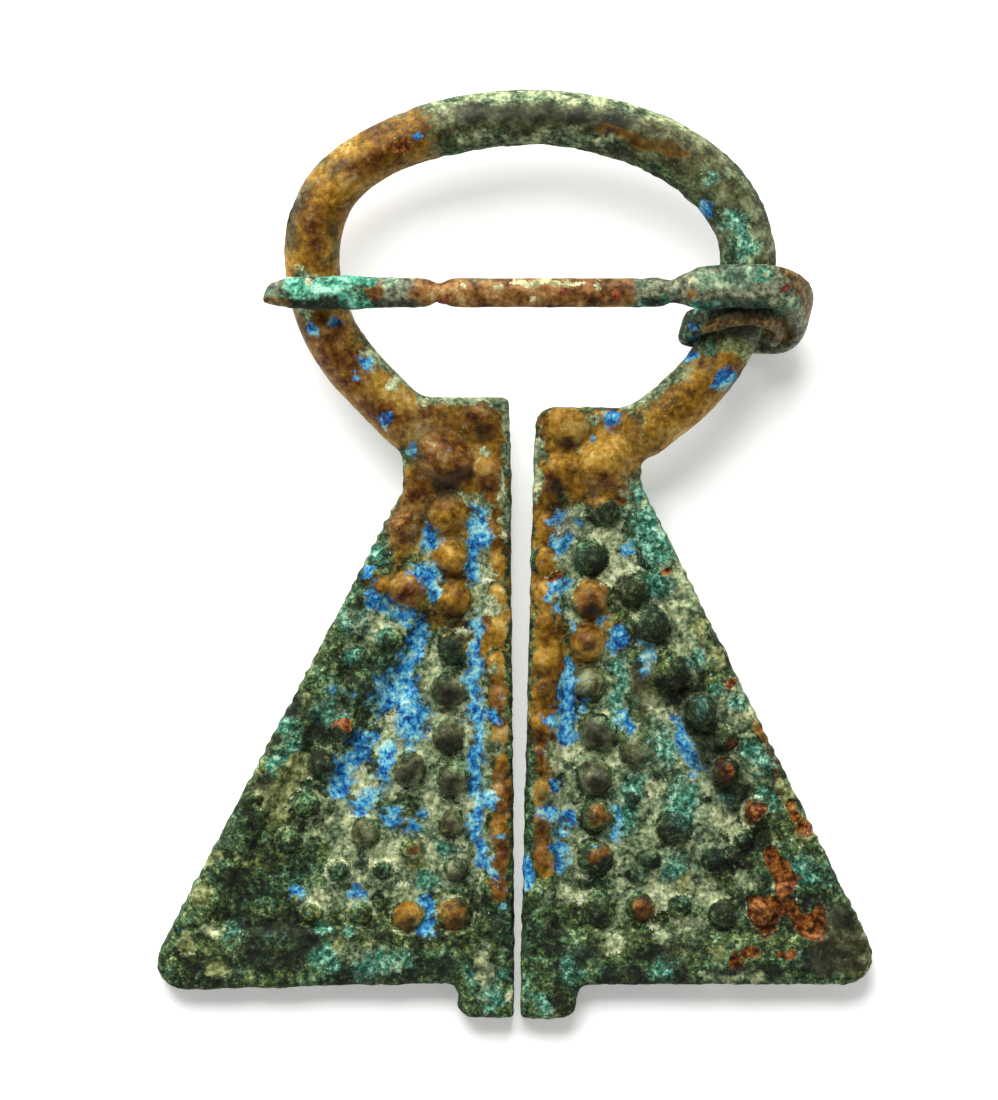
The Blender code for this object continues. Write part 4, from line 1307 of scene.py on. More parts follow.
    def edge_closeness(self, points: np.ndarray, plate: Plate) -> np.ndarray:
        """Return how far points are from a plate's outline, on either side of it."""
        return np.abs(inside_distance(plate.local(points), plate.outline()))

    def build(self, place: Matrix) -> bpy.types.Object:
        """Make the casting's mesh in its place.

        Args:
            place: Matrix from the brooch's frame to the scene's, both in metres.

        Returns:
            The casting, without a material.
        """
        points, faces = self.skin()
        mesh = make_mesh("casting_grid", points, faces.tolist())
        normals = read_vectors(mesh.vertex_normals, "vector")
        masks = self.masks(points, normals)
        depth = self.crust.depth(points, masks, self.front(points, normals))
        push_out(mesh, points, normals, depth)
        rough = add_object("casting_grid", mesh)
        thin = rough.modifiers.new("thin", "DECIMATE")
        thin.ratio = min(self.most_triangles / (2 * len(faces)), 1.0)
        graph = bpy.context.evaluated_depsgraph_get()
        kept = bpy.data.meshes.new_from_object(rough.evaluated_get(graph))
        bpy.data.objects.remove(rough)
        kept.name = "cast_hoop_and_plates"
        kept.shade_smooth()
        points = read_vectors(kept.vertices, "co")
        normals = read_vectors(kept.vertex_normals, "vector")
        write_masks(kept, self.masks(points, normals))
        return place_piece(kept, place)


@dataclass(frozen=True)
class Pin:
    """A wrought bar with two waists, hammered into a band that is coiled round the hoop."""

    hoop: Hoop
    plates: tuple[Plate, Plate]
    crust: Crust = Crust(seed=Seed.PIN_CRUST, lumps=0.06, grit=0.035, lump_size=0.8)
    rod_radius: float = 2.0
    clearance: float = 0.3
    coil_clearance: float = 0.7
    coil_place: float = 13.9
    length: float = 33.7
    level: float = -2.2
    width: float = 2.05
    thickness: float = 1.75
    shank_squareness: float = 0.85
    swelling: float = 0.35
    swelling_place: float = 4.4
    swelling_spread: float = 3.2
    tip_width: float = 1.4
    tip_taper: float = 1.9
    tip_slant: float = 0.35
    tip_reach: float = 1.2
    band_width: float = 3.05
    band_thickness: float = 1.1
    band_squareness: float = 0.7
    band_start: float = 28.6
    band_blend: float = 2.0
    coil_join: float = 7.4
    waists: tuple[Patch, ...] = ((11.95, 0.72, 0.65), (28.3, 0.42, 0.55))
    stations: tuple[Patch, ...] = (
        (0.0, 0.66, -1.65, 1.00, 1.00),
        (25.0, 0.76, -2.05, 1.00, 1.00),
        (53.0, 0.90, -1.80, 0.98, 0.98),
        (90.0, 1.12, -0.65, 0.93, 0.95),
        (130.0, 1.15, 1.10, 0.90, 0.95),
        (180.0, 0.36, 1.95, 0.85, 0.95),
        (270.0, 0.10, 2.35, 0.75, 0.88),
        (320.0, 0.00, 1.35, 0.62, 0.80),
        (360.0, 0.00, 0.40, 0.52, 0.72),
        (395.0, 0.00, 0.15, 0.50, 0.70),
        (435.0, 0.00, 0.45, 0.48, 0.70),
        (475.0, 0.00, 1.50, 0.42, 0.64),
    )
    sides: int = 44
    shank_rings: int = 300
    coil_rings: int = 260
    cap_shares: tuple[float, ...] = (0.12, 0.35, 0.6, 0.8, 0.93)
    cap_depth: float = 0.3
    tangent_step: float = 0.01
    drift: float = 0.2
    drift_size: float = 1.1
    wander: float = 0.4

    def hinge(self) -> Matrix:
        """Return the frame that the pin turns in.

        Returns:
            Its matrix, with X out of the hoop, Y out of the face and Z along the rod.
        """
        right = self.plates[1]
        turn = math.radians(-self.coil_place)
        along = Vector((self.hoop.half_width * math.sin(turn), -right.arm_drop * math.cos(turn), 0.0))
        along.normalize()
        face = Vector(FACING)
        matrix = Matrix((face.cross(along), face, along)).transposed().to_4x4()
        matrix.translation = self.hoop.point(-self.coil_place, right.arm_drop)
        return matrix

    def coil_values(self, angle: float) -> tuple[float, float, float, float]:
        """Return the sizes of the band at one turn of the coil.

        Args:
            angle: Turn from the front, in degrees.

        Returns:
            Its slack round the rod, its place along the rod, its width and its thickness.
        """
        table = np.array(self.stations)
        slopes = np.gradient(table[:, 1:], table[:, 0], axis=0)
        index = int(np.clip(np.searchsorted(table[:, 0], angle) - 1, 0, len(table) - 2))
        span = table[index + 1, 0] - table[index, 0]
        t = (angle - table[index, 0]) / span
        start, start_way, end, end_way = hermite(t)
        curve = start * table[index, 1:] + end * table[index + 1, 1:]
        curve += (start_way * slopes[index] + end_way * slopes[index + 1]) * span
        slack, place, width, thickness = curve
        return slack, place, width * self.band_width, thickness * self.band_thickness

    def coil_point(self, angle: float) -> Vector:
        """Return the middle of the band at one turn of the coil.

        Args:
            angle: Turn from the front, in degrees.

        Returns:
            The place in the hinge's frame.
        """
        slack, place, _, thickness = self.coil_values(angle)
        radius = self.rod_radius + self.coil_clearance + thickness / 2 + slack
        turn = math.radians(angle)
        return Vector((radius * math.sin(turn), radius * math.cos(turn), place))

    def shank_size(self, distance: float) -> tuple[float, float]:
        """Return the size of the shank's section.

        Args:
            distance: Distance from the shank's tip.

        Returns:
            Its width and its thickness.
        """
        band = float(eased(distance, self.band_start, self.band_blend))
        swollen = float(bump(distance - self.swelling_place, self.swelling_spread))
        width, thickness = self.width + self.swelling * swollen, self.thickness
        for place, depth, spread in self.waists:
            cut = depth * float(bump(distance - place, spread))
            width -= cut
            thickness -= cut / 2
        tip = self.tip_width / self.width
        taper = tip + (1.0 - tip) * math.sqrt(float(smooth_step(distance / self.tip_taper)))
        width, thickness = width * taper, thickness * taper
        width += (self.band_width - width) * band
        thickness += (self.band_thickness - thickness) * band
        return width, thickness

    def shank_point(self, distance: float, hinge: Matrix) -> Vector:
        """Return the shank's middle.

        Args:
            distance: Distance from the shank's tip.
            hinge: The frame that the pin turns in.

        Returns:
            The place in the brooch's frame.
        """
        joint = hinge @ self.coil_point(0.0)
        joint_way = (hinge.to_3x3() @ (self.coil_point(1.0) - self.coil_point(0.0))).normalized()
        tip_x = joint.x - self.length
        rod_x = self.hoop.point(180.0, self.plates[0].arm_drop).x
        over_rod = self.shank_size(rod_x - tip_x)[1] / 2 + self.rod_radius + self.clearance
        slope = (joint.z - over_rod) / (joint.x - rod_x)
        straight = self.length - self.coil_join
        x = tip_x + min(distance, straight)
        start = Vector((x, self.level, over_rod + (x - rod_x) * slope))
        if distance <= straight:
            return start
        t = (distance - straight) / self.coil_join
        at_start, start_share, at_end, end_share = hermite(t)
        start_way = Vector((1.0, 0.0, slope)) * self.coil_join
        curve = start * at_start + joint * at_end
        return curve + start_way * start_share + joint_way * self.coil_join * end_share

    def ring(
        self,
        centre: Vector,
        along: Vector,
        out: Vector,
        size: tuple[float, float],
        squareness: float,
    ) -> np.ndarray:
        """Return the points of one cross-section.

        Args:
            centre: The section's middle.
            along: The way that the bar runs.
            out: The way that its broad face looks.
            size: Width and thickness.
            squareness: 1 for an ellipse, less for a shape nearer to a box.

        Returns:
            Array of shape (sides, 3).
        """
        along = along.normalized()
        across = along.cross(out).normalized()
        out = across.cross(along)
        turns = 2 * np.pi * (np.arange(self.sides) + 0.5) / self.sides
        x = np.sign(np.cos(turns)) * np.abs(np.cos(turns)) ** squareness * size[0] / 2
        y = np.sign(np.sin(turns)) * np.abs(np.sin(turns)) ** squareness * size[1] / 2
        return np.array(centre) + x[:, None] * np.array(across) + y[:, None] * np.array(out)

    def rings(self) -> list[np.ndarray]:
        """Return all cross-sections from the tip to the coil's end.

        Returns:
            Their points in the brooch's frame, each of shape (sides, 3).
        """
        hinge = self.hinge()
        face = Vector(FACING)
        rings = []
        for distance in np.linspace(0.0, self.length, self.shank_rings, endpoint=False):
            centre = self.shank_point(distance, hinge)
            along = self.shank_point(distance + self.tangent_step, hinge) - centre
            ring = self.ring(centre, along, face, self.shank_size(distance), self.shank_squareness)
            slant = self.tip_slant * (1.0 - float(smooth_step(distance / self.tip_reach)))
            ring[:, 0] += (ring[:, 1] - centre.y) * slant
            rings.append(ring)
        last = self.stations[-1][0]
        for angle in np.linspace(0.0, last, self.coil_rings):
            ahead = min(angle + self.tangent_step, last)
            step = self.coil_point(ahead) - self.coil_point(ahead - self.tangent_step)
            turn = math.radians(angle)
            out = hinge.to_3x3() @ Vector((math.sin(turn), math.cos(turn), 0.0))
            size = self.coil_values(angle)[2:]
            centre = hinge @ self.coil_point(angle)
            rings.append(self.ring(centre, hinge.to_3x3() @ step, out, size, self.band_squareness))
        return self.capped(rings)

    def capped(self, rings: list[np.ndarray]) -> list[np.ndarray]:
        """Add shrinking cross-sections at both ends.

        Args:
            rings: The cross-sections from the tip to the coil's end.

        Returns:
            All cross-sections, with rounded ends.
        """
        caps = []
        for end, inner in ((rings[0], rings[2]), (rings[-1], rings[-3])):
            middle = end.mean(axis=0)
            way = middle - inner.mean(axis=0)
            way = way / np.linalg.norm(way)
            reach = [self.cap_depth * math.sqrt(1.0 - share**2) for share in self.cap_shares]
            pairs = zip(self.cap_shares, reach)
            caps.append([middle + (end - middle) * share + way * depth for share, depth in pairs])
        return caps[0] + rings + caps[1][::-1]

    def masks(self, points: np.ndarray) -> dict[Mask, np.ndarray]:
        """Return what lies on the pin at each point of its skin, and where shade is painted in its
        coil.

        Args:
            points: The skin's points in millimetres.

        Returns:
            A level for each mask and each point.
        """
        masks = {}
        places = wandered(points, Seed.PIN_WANDER, self.wander)
        for number, (mask, patches) in enumerate(PIN_PATCHES.items()):
            drift = Noise(Seed.PIN_DRIFT + number).fractal(points, self.drift_size)
            masks[mask] = patch_level(places, patches) + self.drift * drift
        masks[Mask.DARK] = eased(masks[Mask.DARK], DARK_PATINA_AND_SHADE_START, DARK_PATINA_AND_SHADE_FADE)
        return masks

    def build(self, place: Matrix) -> bpy.types.Object:
        """Make the pin's mesh in its place.

        Args:
            place: Matrix from the brooch's frame to the scene's, both in metres.

        Returns:
            The pin, without a material.
        """
        rings = self.rings()
        points = np.concatenate(rings)
        around = np.arange(self.sides)
        after = (around + 1) % self.sides
        starts = np.arange(len(rings) - 1)[:, None] * self.sides
        ends = starts + self.sides
        quads = np.stack([starts + around, starts + after, ends + after, ends + around], axis=-1)
        last = (len(rings) - 1) * self.sides
        faces = quads.reshape(-1, 4).tolist() + [around[::-1].tolist(), (last + around).tolist()]
        mesh = make_mesh("wrought_pin", points, faces)
        normals = read_vectors(mesh.vertex_normals, "vector")
        masks = self.masks(points)
        push_out(mesh, points, normals, self.crust.depth(points, masks, np.ones(len(points))))
        write_masks(mesh, masks)
        return place_piece(mesh, place)


def add_object(name: str, data: bpy.types.ID) -> bpy.types.Object:
    """Add an object to the scene.

    Args:
        name: The object's name.
        data: Its mesh, light or camera.

    Returns:
        The new object.
    """
    added = bpy.data.objects.new(name, data)
    bpy.context.scene.collection.objects.link(added)
    return added


def place_piece(mesh: bpy.types.Mesh, place: Matrix) -> bpy.types.Object:
    """Return an object of a mesh in millimetres, put in its place in the scene."""
    mesh.transform(place @ Matrix.Scale(MM, 4))
    return add_object(mesh.name, mesh)


def add_node(tree: bpy.types.NodeTree, kind: str, inputs: dict, **settings) -> bpy.types.Node:
    """Add a node with its settings and links.

    Args:
        tree: The material's or the world's node tree.
        kind: The node's type in Blender.
        inputs: For each input, by name or place, a value or another node's output.
        settings: The node's properties; "stops" holds the (place, hex colour) pairs of a ramp.

    Returns:
        The new node.
    """
    node = tree.nodes.new(kind)
    for place, (position, code) in enumerate(settings.pop("stops", ())):
        elements = node.color_ramp.elements
        element = elements[place] if place < 2 else elements.new(position)
        element.position = position
        element.color = linear_colour(code)
    for name, value in settings.items():
        setattr(node, name, value)
    for key, value in inputs.items():
        if isinstance(value, bpy.types.NodeSocket):
            tree.links.new(value, node.inputs[key])
        else:
            node.inputs[key].default_value = value
    return node


class Grain(Enum):
    """Widths of the surface's random patterns, in millimetres.

    Real dust and crystals of these minerals are a few hundredths of a millimetre wide,
    too fine to show, so the two finest are drawn coarser.
    """

    DUST = 0.16
    CRYSTAL = 0.45
    SCAB = 1.2
    STAIN = 3.6


def add_blend(tree: bpy.types.NodeTree, base: float, parts: tuple) -> bpy.types.NodeSocket:
    """Add up patterns by their shares.

    Args:
        tree: The material's or the world's node tree.
        base: What the sum starts from.
        parts: (socket, share) pairs.

    Returns:
        The socket that gives the sum.
    """
    total = base
    for socket, share in parts:
        total = add_node(
            tree, "ShaderNodeMath", {0: socket, 1: share, 2: total}, operation="MULTIPLY_ADD"
        ).outputs[0]
    return total


@dataclass(frozen=True)
class Layer:
    """One product of corrosion, or the bare metal, that covers what is below it.

    The colours run along a scale that the main grain moves along; fine and specks say
    how far crystals and single grains move it too. Ragged says how far the layer's edge
    wanders, softness how slowly it fades out, and relief how far its grains stand.
    """

    mask: Mask
    colours: tuple[tuple[float, str], ...]
    grain: Grain
    fine: float
    specks: float
    edge: Grain
    ragged: float
    softness: float
    roughness: float
    metallic: float
    relief: float


@dataclass(frozen=True)
class CorrodedBronze:
    """Bronze whose skin has turned to layers of copper minerals in the ground.

    The crust's colour runs along a scale from dark to pale, in a cool and a warm
    version. Random patterns and single grains move it along that scale. Single grains
    are finer than a tenth of a millimetre in a real crust, so they are drawn coarser.
    """

    name: str
    cool: tuple[tuple[float, str], ...]
    warm: tuple[tuple[float, str], ...]
    layers: tuple[Layer, ...]
    speck_size: float = 0.2
    tone: float = 0.42
    stain_share: float = 0.6
    coarse_share: float = 0.75
    crystal_share: float = 0.9
    dust_share: float = 0.6
    speck_share: float = 0.24
    cool_share: float = 0.36
    stain_hue: float = 2.4
    crystal_hue: float = 2.0
    speck_hue: float = 0.5
    pattern_detail: float = 3.0
    pattern_roughness: float = 0.6
    edge_share: float = 0.65
    scab_edge_share: float = 0.35
    dust_relief: float = 0.45
    # Near-black colour of the dark patina and of the painted shade.
    dark_patina_and_shade_colour: str = "0b0c07"
    dark_patina_and_shade_cover: float = 0.72
    crust_roughness: float = 0.75
    crust_metallic: float = 0.0
    relief_depth: float = 0.00006
    gleam: float = 0.15

    def crust(
        self, tree: bpy.types.NodeTree, grains: dict, specks: bpy.types.NodeInputs
    ) -> bpy.types.NodeSocket:
        """Return the crust's colour.

        Args:
            tree: The material's node tree.
            grains: The three channels of each random pattern.
            specks: Three random values for each single grain.

        Returns:
            The socket that gives the colour.
        """
        parts = (
            (grains[Grain.STAIN][2], self.stain_share),
            (grains[Grain.SCAB][0], self.coarse_share),
            (grains[Grain.CRYSTAL][0], self.crystal_share),
            (grains[Grain.DUST][0], self.dust_share),
            (specks[0], self.speck_share),
        )
        tone = add_blend(tree, self.tone - 0.5 * sum(share for _, share in parts), parts)
        cool = add_node(tree, "ShaderNodeValToRGB", {0: tone}, stops=self.cool).outputs[0]
        warm = add_node(tree, "ShaderNodeValToRGB", {0: tone}, stops=self.warm).outputs[0]
        parts = (
            (grains[Grain.STAIN][1], self.stain_hue),
            (grains[Grain.CRYSTAL][2], self.crystal_hue),
            (specks[1], self.speck_hue),
        )
        hue = add_blend(tree, self.cool_share - 0.5 * sum(share for _, share in parts), parts)
        mix = add_node(tree, "ShaderNodeMix", {0: hue, 6: warm, 7: cool}, data_type="RGBA")
        return mix.outputs[2]

    def layer_cover(
        self, tree: bpy.types.NodeTree, grains: dict, number: int
    ) -> bpy.types.NodeSocket:
        """Return how fully a layer covers what is below it.

        Args:
            tree: The material's node tree.
            grains: The three channels of each random pattern.
            number: The layer's place in the list, which also picks the channels.

        Returns:
            The socket that gives the cover, from 0 to 1.
        """
        layer = self.layers[number]
        spread = add_node(tree, "ShaderNodeAttribute", {}, attribute_name=layer.mask.value)
        parts = (
            (grains[layer.edge][number % 3], self.edge_share * layer.ragged),
            (grains[Grain.SCAB][number % 3 - 1], self.scab_edge_share * layer.ragged),
            (spread.outputs["Fac"], 1.0),
        )
        edge = add_blend(tree, -0.5 * layer.ragged, parts)
        limits = {0: edge, 1: 0.5 - layer.softness, 2: 0.5 + layer.softness}
        fade = add_node(tree, "ShaderNodeMapRange", limits, interpolation_type="SMOOTHSTEP")
        return fade.outputs[0]

    def layer_tint(
        self, tree: bpy.types.NodeTree, grains: dict, specks: bpy.types.NodeInputs, number: int
    ) -> bpy.types.NodeSocket:
        """Return a layer's colour.

        Args:
            tree: The material's node tree.
            grains: The three channels of each random pattern.
            specks: Three random values for each single grain.
            number: The layer's place in the list, which also picks the channels.

        Returns:
            The socket that gives the colour.
        """
        layer = self.layers[number]
        parts = (
            (grains[Grain.CRYSTAL][number % 3 - 1], layer.fine),
            (specks[number % 3], layer.specks),
            (grains[layer.grain][number % 3 - 2], 1.0),
        )
        tone = add_blend(tree, -0.5 * (layer.fine + layer.specks), parts)
        return add_node(tree, "ShaderNodeValToRGB", {0: tone}, stops=layer.colours).outputs[0]

    def make(self) -> bpy.types.Material:
        """Make the material, which reads where each layer lies from the mesh's attributes.

        Returns:
            The material.
        """
        material = bpy.data.materials.new(self.name)
        material.use_nodes = True
        tree = material.node_tree
        place = add_node(tree, "ShaderNodeTexCoord", {}).outputs["Object"]
        look = {"Detail": self.pattern_detail, "Roughness": self.pattern_roughness}
        grains = {}
        for grain in Grain:
            settings = {"Vector": place, "Scale": 1.0 / (grain.value * MM)} | look
            pattern = add_node(tree, "ShaderNodeTexNoise", settings).outputs["Color"]
            grains[grain] = add_node(tree, "ShaderNodeSeparateXYZ", {0: pattern}).outputs
        settings = {"Vector": place, "Scale": 1.0 / (self.speck_size * MM)}
        cells = add_node(tree, "ShaderNodeTexVoronoi", settings).outputs["Color"]
        specks = add_node(tree, "ShaderNodeSeparateXYZ", {0: cells}).outputs
        colour = self.crust(tree, grains, specks)
        roughness, metallic, relief = self.crust_roughness, self.crust_metallic, 1.0
        for number, layer in enumerate(self.layers):
            cover = self.layer_cover(tree, grains, number)
            tint = self.layer_tint(tree, grains, specks, number)
            settings = {0: cover, 6: colour, 7: tint}
            colour = add_node(tree, "ShaderNodeMix", settings, data_type="RGBA").outputs[2]
            roughness, metallic, relief = (
                add_node(tree, "ShaderNodeMix", {0: cover, 2: below, 3: above}).outputs[0]
                for below, above in (
                    (roughness, layer.roughness), (metallic, layer.metallic), (relief, layer.relief)
                )
            )
        # Dark patina and painted shade: the colour turns towards near black where the dark mask lies.
        dark = add_node(tree, "ShaderNodeAttribute", {}, attribute_name=Mask.DARK.value)
        settings = {0: dark.outputs["Fac"], 1: self.dark_patina_and_shade_cover}
        dark = add_node(tree, "ShaderNodeMath", settings, operation="MULTIPLY").outputs[0]
        settings = {0: dark, 6: colour, 7: linear_colour(self.dark_patina_and_shade_colour)}
        colour = add_node(tree, "ShaderNodeMix", settings, data_type="RGBA").outputs[2]
        parts = ((grains[Grain.CRYSTAL][0], 1.0), (grains[Grain.DUST][2], self.dust_relief))
        grit = add_blend(tree, 0.0, parts)
        height = add_node(tree, "ShaderNodeMath", {0: grit, 1: relief}, operation="MULTIPLY").outputs[0]
        settings = {"Strength": 1.0, "Distance": self.relief_depth, "Height": height}
        normal = add_node(tree, "ShaderNodeBump", settings).outputs[0]
        shader = tree.nodes["Principled BSDF"]
        shader.inputs["Specular IOR Level"].default_value = self.gleam
        tree.links.new(colour, shader.inputs["Base Color"])
        tree.links.new(roughness, shader.inputs["Roughness"])
        tree.links.new(metallic, shader.inputs["Metallic"])
        tree.links.new(normal, shader.inputs["Normal"])
        return material


# Minerals on the casting. The crust is rough and matt, bare bronze has a worn satin
# gleam, azurite and malachite are powdery, and cuprite shows as dull red pits.
CAST_BRONZE = CorrodedBronze(
    name="cast_bronze_buried",
    cool=(
        (0.0, "020403"), (0.2, "09130b"), (0.36, "162c1b"), (0.5, "284b32"),
        (0.64, "4a7657"), (0.8, "84ab8a"), (1.0, "c8dcbc"),
    ),
    warm=(
        (0.0, "030302"), (0.2, "0f1207"), (0.36, "232b11"), (0.5, "3f4c23"),
        (0.64, "68733f"), (0.8, "a2a46e"), (1.0, "dcd6a6"),
    ),
    layers=(
        Layer(
            Mask.OLIVE,
            colours=(
                (0.28, "1c1a0e"), (0.4, "322f18"), (0.48, "424428"), (0.56, "545838"), (0.68, "74785a"),
            ),
            grain=Grain.SCAB, fine=0.4, specks=0.12, edge=Grain.CRYSTAL, ragged=1.0, softness=0.24,
            roughness=0.55, metallic=0.1, relief=0.5,
        ),
        Layer(
            Mask.BARE,
            colours=(
                (0.26, "2c1901"), (0.36, "4c3002"), (0.45, "674708"), (0.51, "7a5710"),
                (0.57, "8a671e"), (0.66, "9b7e3c"), (0.8, "b09e6e"),
            ),
            grain=Grain.STAIN, fine=0.55, specks=0.08, edge=Grain.CRYSTAL, ragged=1.1, softness=0.16,
            roughness=0.55, metallic=0.2, relief=0.35,
        ),
        Layer(
            Mask.RUST,
            colours=(
                (0.28, "240a00"), (0.38, "3e1e02"), (0.46, "523006"), (0.54, "644113"),
                (0.64, "7c5a2a"), (0.78, "947a50"),
            ),
            grain=Grain.SCAB, fine=0.45, specks=0.08, edge=Grain.SCAB, ragged=1.3, softness=0.3,
            roughness=0.5, metallic=0.2, relief=0.35,
        ),
        Layer(
            Mask.PALE_CRUST_AND_SHEEN,
            colours=(
                (0.26, "1b2618"), (0.38, "3b4830"), (0.48, "59684c"), (0.57, "77835f"),
                (0.68, "9ea478"), (0.82, "c6c598"),
            ),
            grain=Grain.SCAB, fine=0.6, specks=0.2, edge=Grain.CRYSTAL, ragged=1.9, softness=0.2,
            roughness=0.85, metallic=0.0, relief=0.8,
        ),
        Layer(
            Mask.MALACHITE,
            colours=(
                (0.26, "0b2219"), (0.38, "184033"), (0.48, "2b604c"), (0.58, "528670"), (0.7, "8ab69a"),
                (0.84, "bedcc0"),
            ),
            grain=Grain.CRYSTAL, fine=0.3, specks=0.2, edge=Grain.DUST, ragged=3.4, softness=0.24,
            roughness=0.8, metallic=0.0, relief=0.9,
        ),
        Layer(
            Mask.TAN,
            colours=((0.34, "303818"), (0.46, "505a30"), (0.56, "74784a"), (0.7, "9aa070")),
            grain=Grain.CRYSTAL, fine=0.3, specks=0.08, edge=Grain.CRYSTAL, ragged=0.8, softness=0.08,
            roughness=0.6, metallic=0.0, relief=0.4,
        ),
        Layer(
            Mask.CUPRITE,
            colours=((0.34, "200c03"), (0.44, "452006"), (0.54, "6a390e"), (0.66, "906028")),
            grain=Grain.CRYSTAL, fine=0.5, specks=0.08, edge=Grain.CRYSTAL, ragged=0.9, softness=0.08,
            roughness=0.5, metallic=0.1, relief=0.5,
        ),
        Layer(
            Mask.CREAM,
            colours=((0.3, "556040"), (0.46, "808a64"), (0.58, "abb088"), (0.75, "d4d6b4")),
            grain=Grain.CRYSTAL, fine=0.3, specks=0.15, edge=Grain.DUST, ragged=2.2, softness=0.1,
            roughness=0.85, metallic=0.0, relief=0.9,
        ),
        Layer(
            Mask.AZURITE,
            colours=(
                (0.28, "082a50"), (0.38, "0f4880"), (0.47, "226c9c"), (0.56, "4a93b0"),
                (0.68, "84b2ac"), (0.82, "b4cab0"),
            ),
            grain=Grain.SCAB, fine=0.7, specks=0.18, edge=Grain.CRYSTAL, ragged=2.1, softness=0.22,
            roughness=0.75, metallic=0.0, relief=0.7,
        ),
    ),
)

# Minerals on the pin. Copper shows through along its middle with a soft gleam, under a
# thin olive crust; the corrosion beside it is rough and matt.
PIN_BRONZE = CorrodedBronze(
    name="wrought_bronze_buried",
    cool=(
        (0.0, "040b07"), (0.2, "0a1f15"), (0.36, "153b2a"), (0.5, "286048"),
        (0.64, "488c6a"), (0.8, "7ebb96"), (1.0, "bcdfc4"),
    ),
    warm=(
        (0.0, "060502"), (0.2, "14140c"), (0.36, "292918"), (0.5, "45462c"),
        (0.64, "676946"), (0.8, "929068"), (1.0, "c8be98"),
    ),
    layers=(
        Layer(
            Mask.OLIVE,
            colours=(
                (0.3, "292b1e"), (0.42, "444735"), (0.52, "5f644e"), (0.64, "7e8469"), (0.8, "9c9e84"),
            ),
            grain=Grain.CRYSTAL, fine=0.2, specks=0.14, edge=Grain.CRYSTAL, ragged=0.6, softness=0.16,
            roughness=0.6, metallic=0.1, relief=0.6,
        ),
        Layer(
            Mask.BARE,
            colours=(
                (0.28, "2b1604"), (0.4, "4e3012"), (0.5, "6f4b22"), (0.6, "896538"), (0.75, "b09c6c"),
            ),
            grain=Grain.SCAB, fine=0.4, specks=0.06, edge=Grain.CRYSTAL, ragged=0.9, softness=0.2,
            roughness=0.5, metallic=0.25, relief=0.6,
        ),
        Layer(
            Mask.PALE_CRUST_AND_SHEEN,
            colours=((0.3, "2a3a2c"), (0.44, "4d624c"), (0.56, "728a6e"), (0.7, "a0ae88")),
            grain=Grain.SCAB, fine=0.5, specks=0.16, edge=Grain.CRYSTAL, ragged=1.7, softness=0.2,
            roughness=0.85, metallic=0.0, relief=0.7,
        ),
        Layer(
            Mask.MALACHITE,
            colours=(
                (0.28, "12392b"), (0.4, "26604a"), (0.5, "458a70"), (0.6, "72b092"), (0.74, "a8d2b6"),
            ),
            grain=Grain.SCAB, fine=0.5, specks=0.18, edge=Grain.CRYSTAL, ragged=1.6, softness=0.22,
            roughness=0.8, metallic=0.0, relief=0.8,
        ),
        Layer(
            Mask.TAN,
            colours=((0.36, "2c200c"), (0.5, "4c3a1a"), (0.64, "74603a")),
            grain=Grain.CRYSTAL, fine=0.3, specks=0.08, edge=Grain.CRYSTAL, ragged=0.8, softness=0.08,
            roughness=0.55, metallic=0.1, relief=0.4,
        ),
        Layer(
            Mask.CUPRITE,
            colours=((0.36, "2f0d05"), (0.5, "56220e"), (0.64, "784020")),
            grain=Grain.CRYSTAL, fine=0.3, specks=0.08, edge=Grain.CRYSTAL, ragged=0.9, softness=0.1,
            roughness=0.5, metallic=0.15, relief=0.5,
        ),
        Layer(
            Mask.CREAM,
            colours=((0.36, "686646"), (0.5, "908c64"), (0.62, "b2ae88")),
            grain=Grain.CRYSTAL, fine=0.3, specks=0.12, edge=Grain.DUST, ragged=2.4, softness=0.12,
            roughness=0.8, metallic=0.0, relief=0.8,
        ),
        Layer(
            Mask.AZURITE,
            colours=((0.36, "0c2e52"), (0.5, "1e4f78"), (0.64, "5a88a0")),
            grain=Grain.CRYSTAL, fine=0.3, specks=0.1, edge=Grain.CRYSTAL, ragged=1.2, softness=0.1,
            roughness=0.8, metallic=0.0, relief=0.7,
        ),
    ),
)


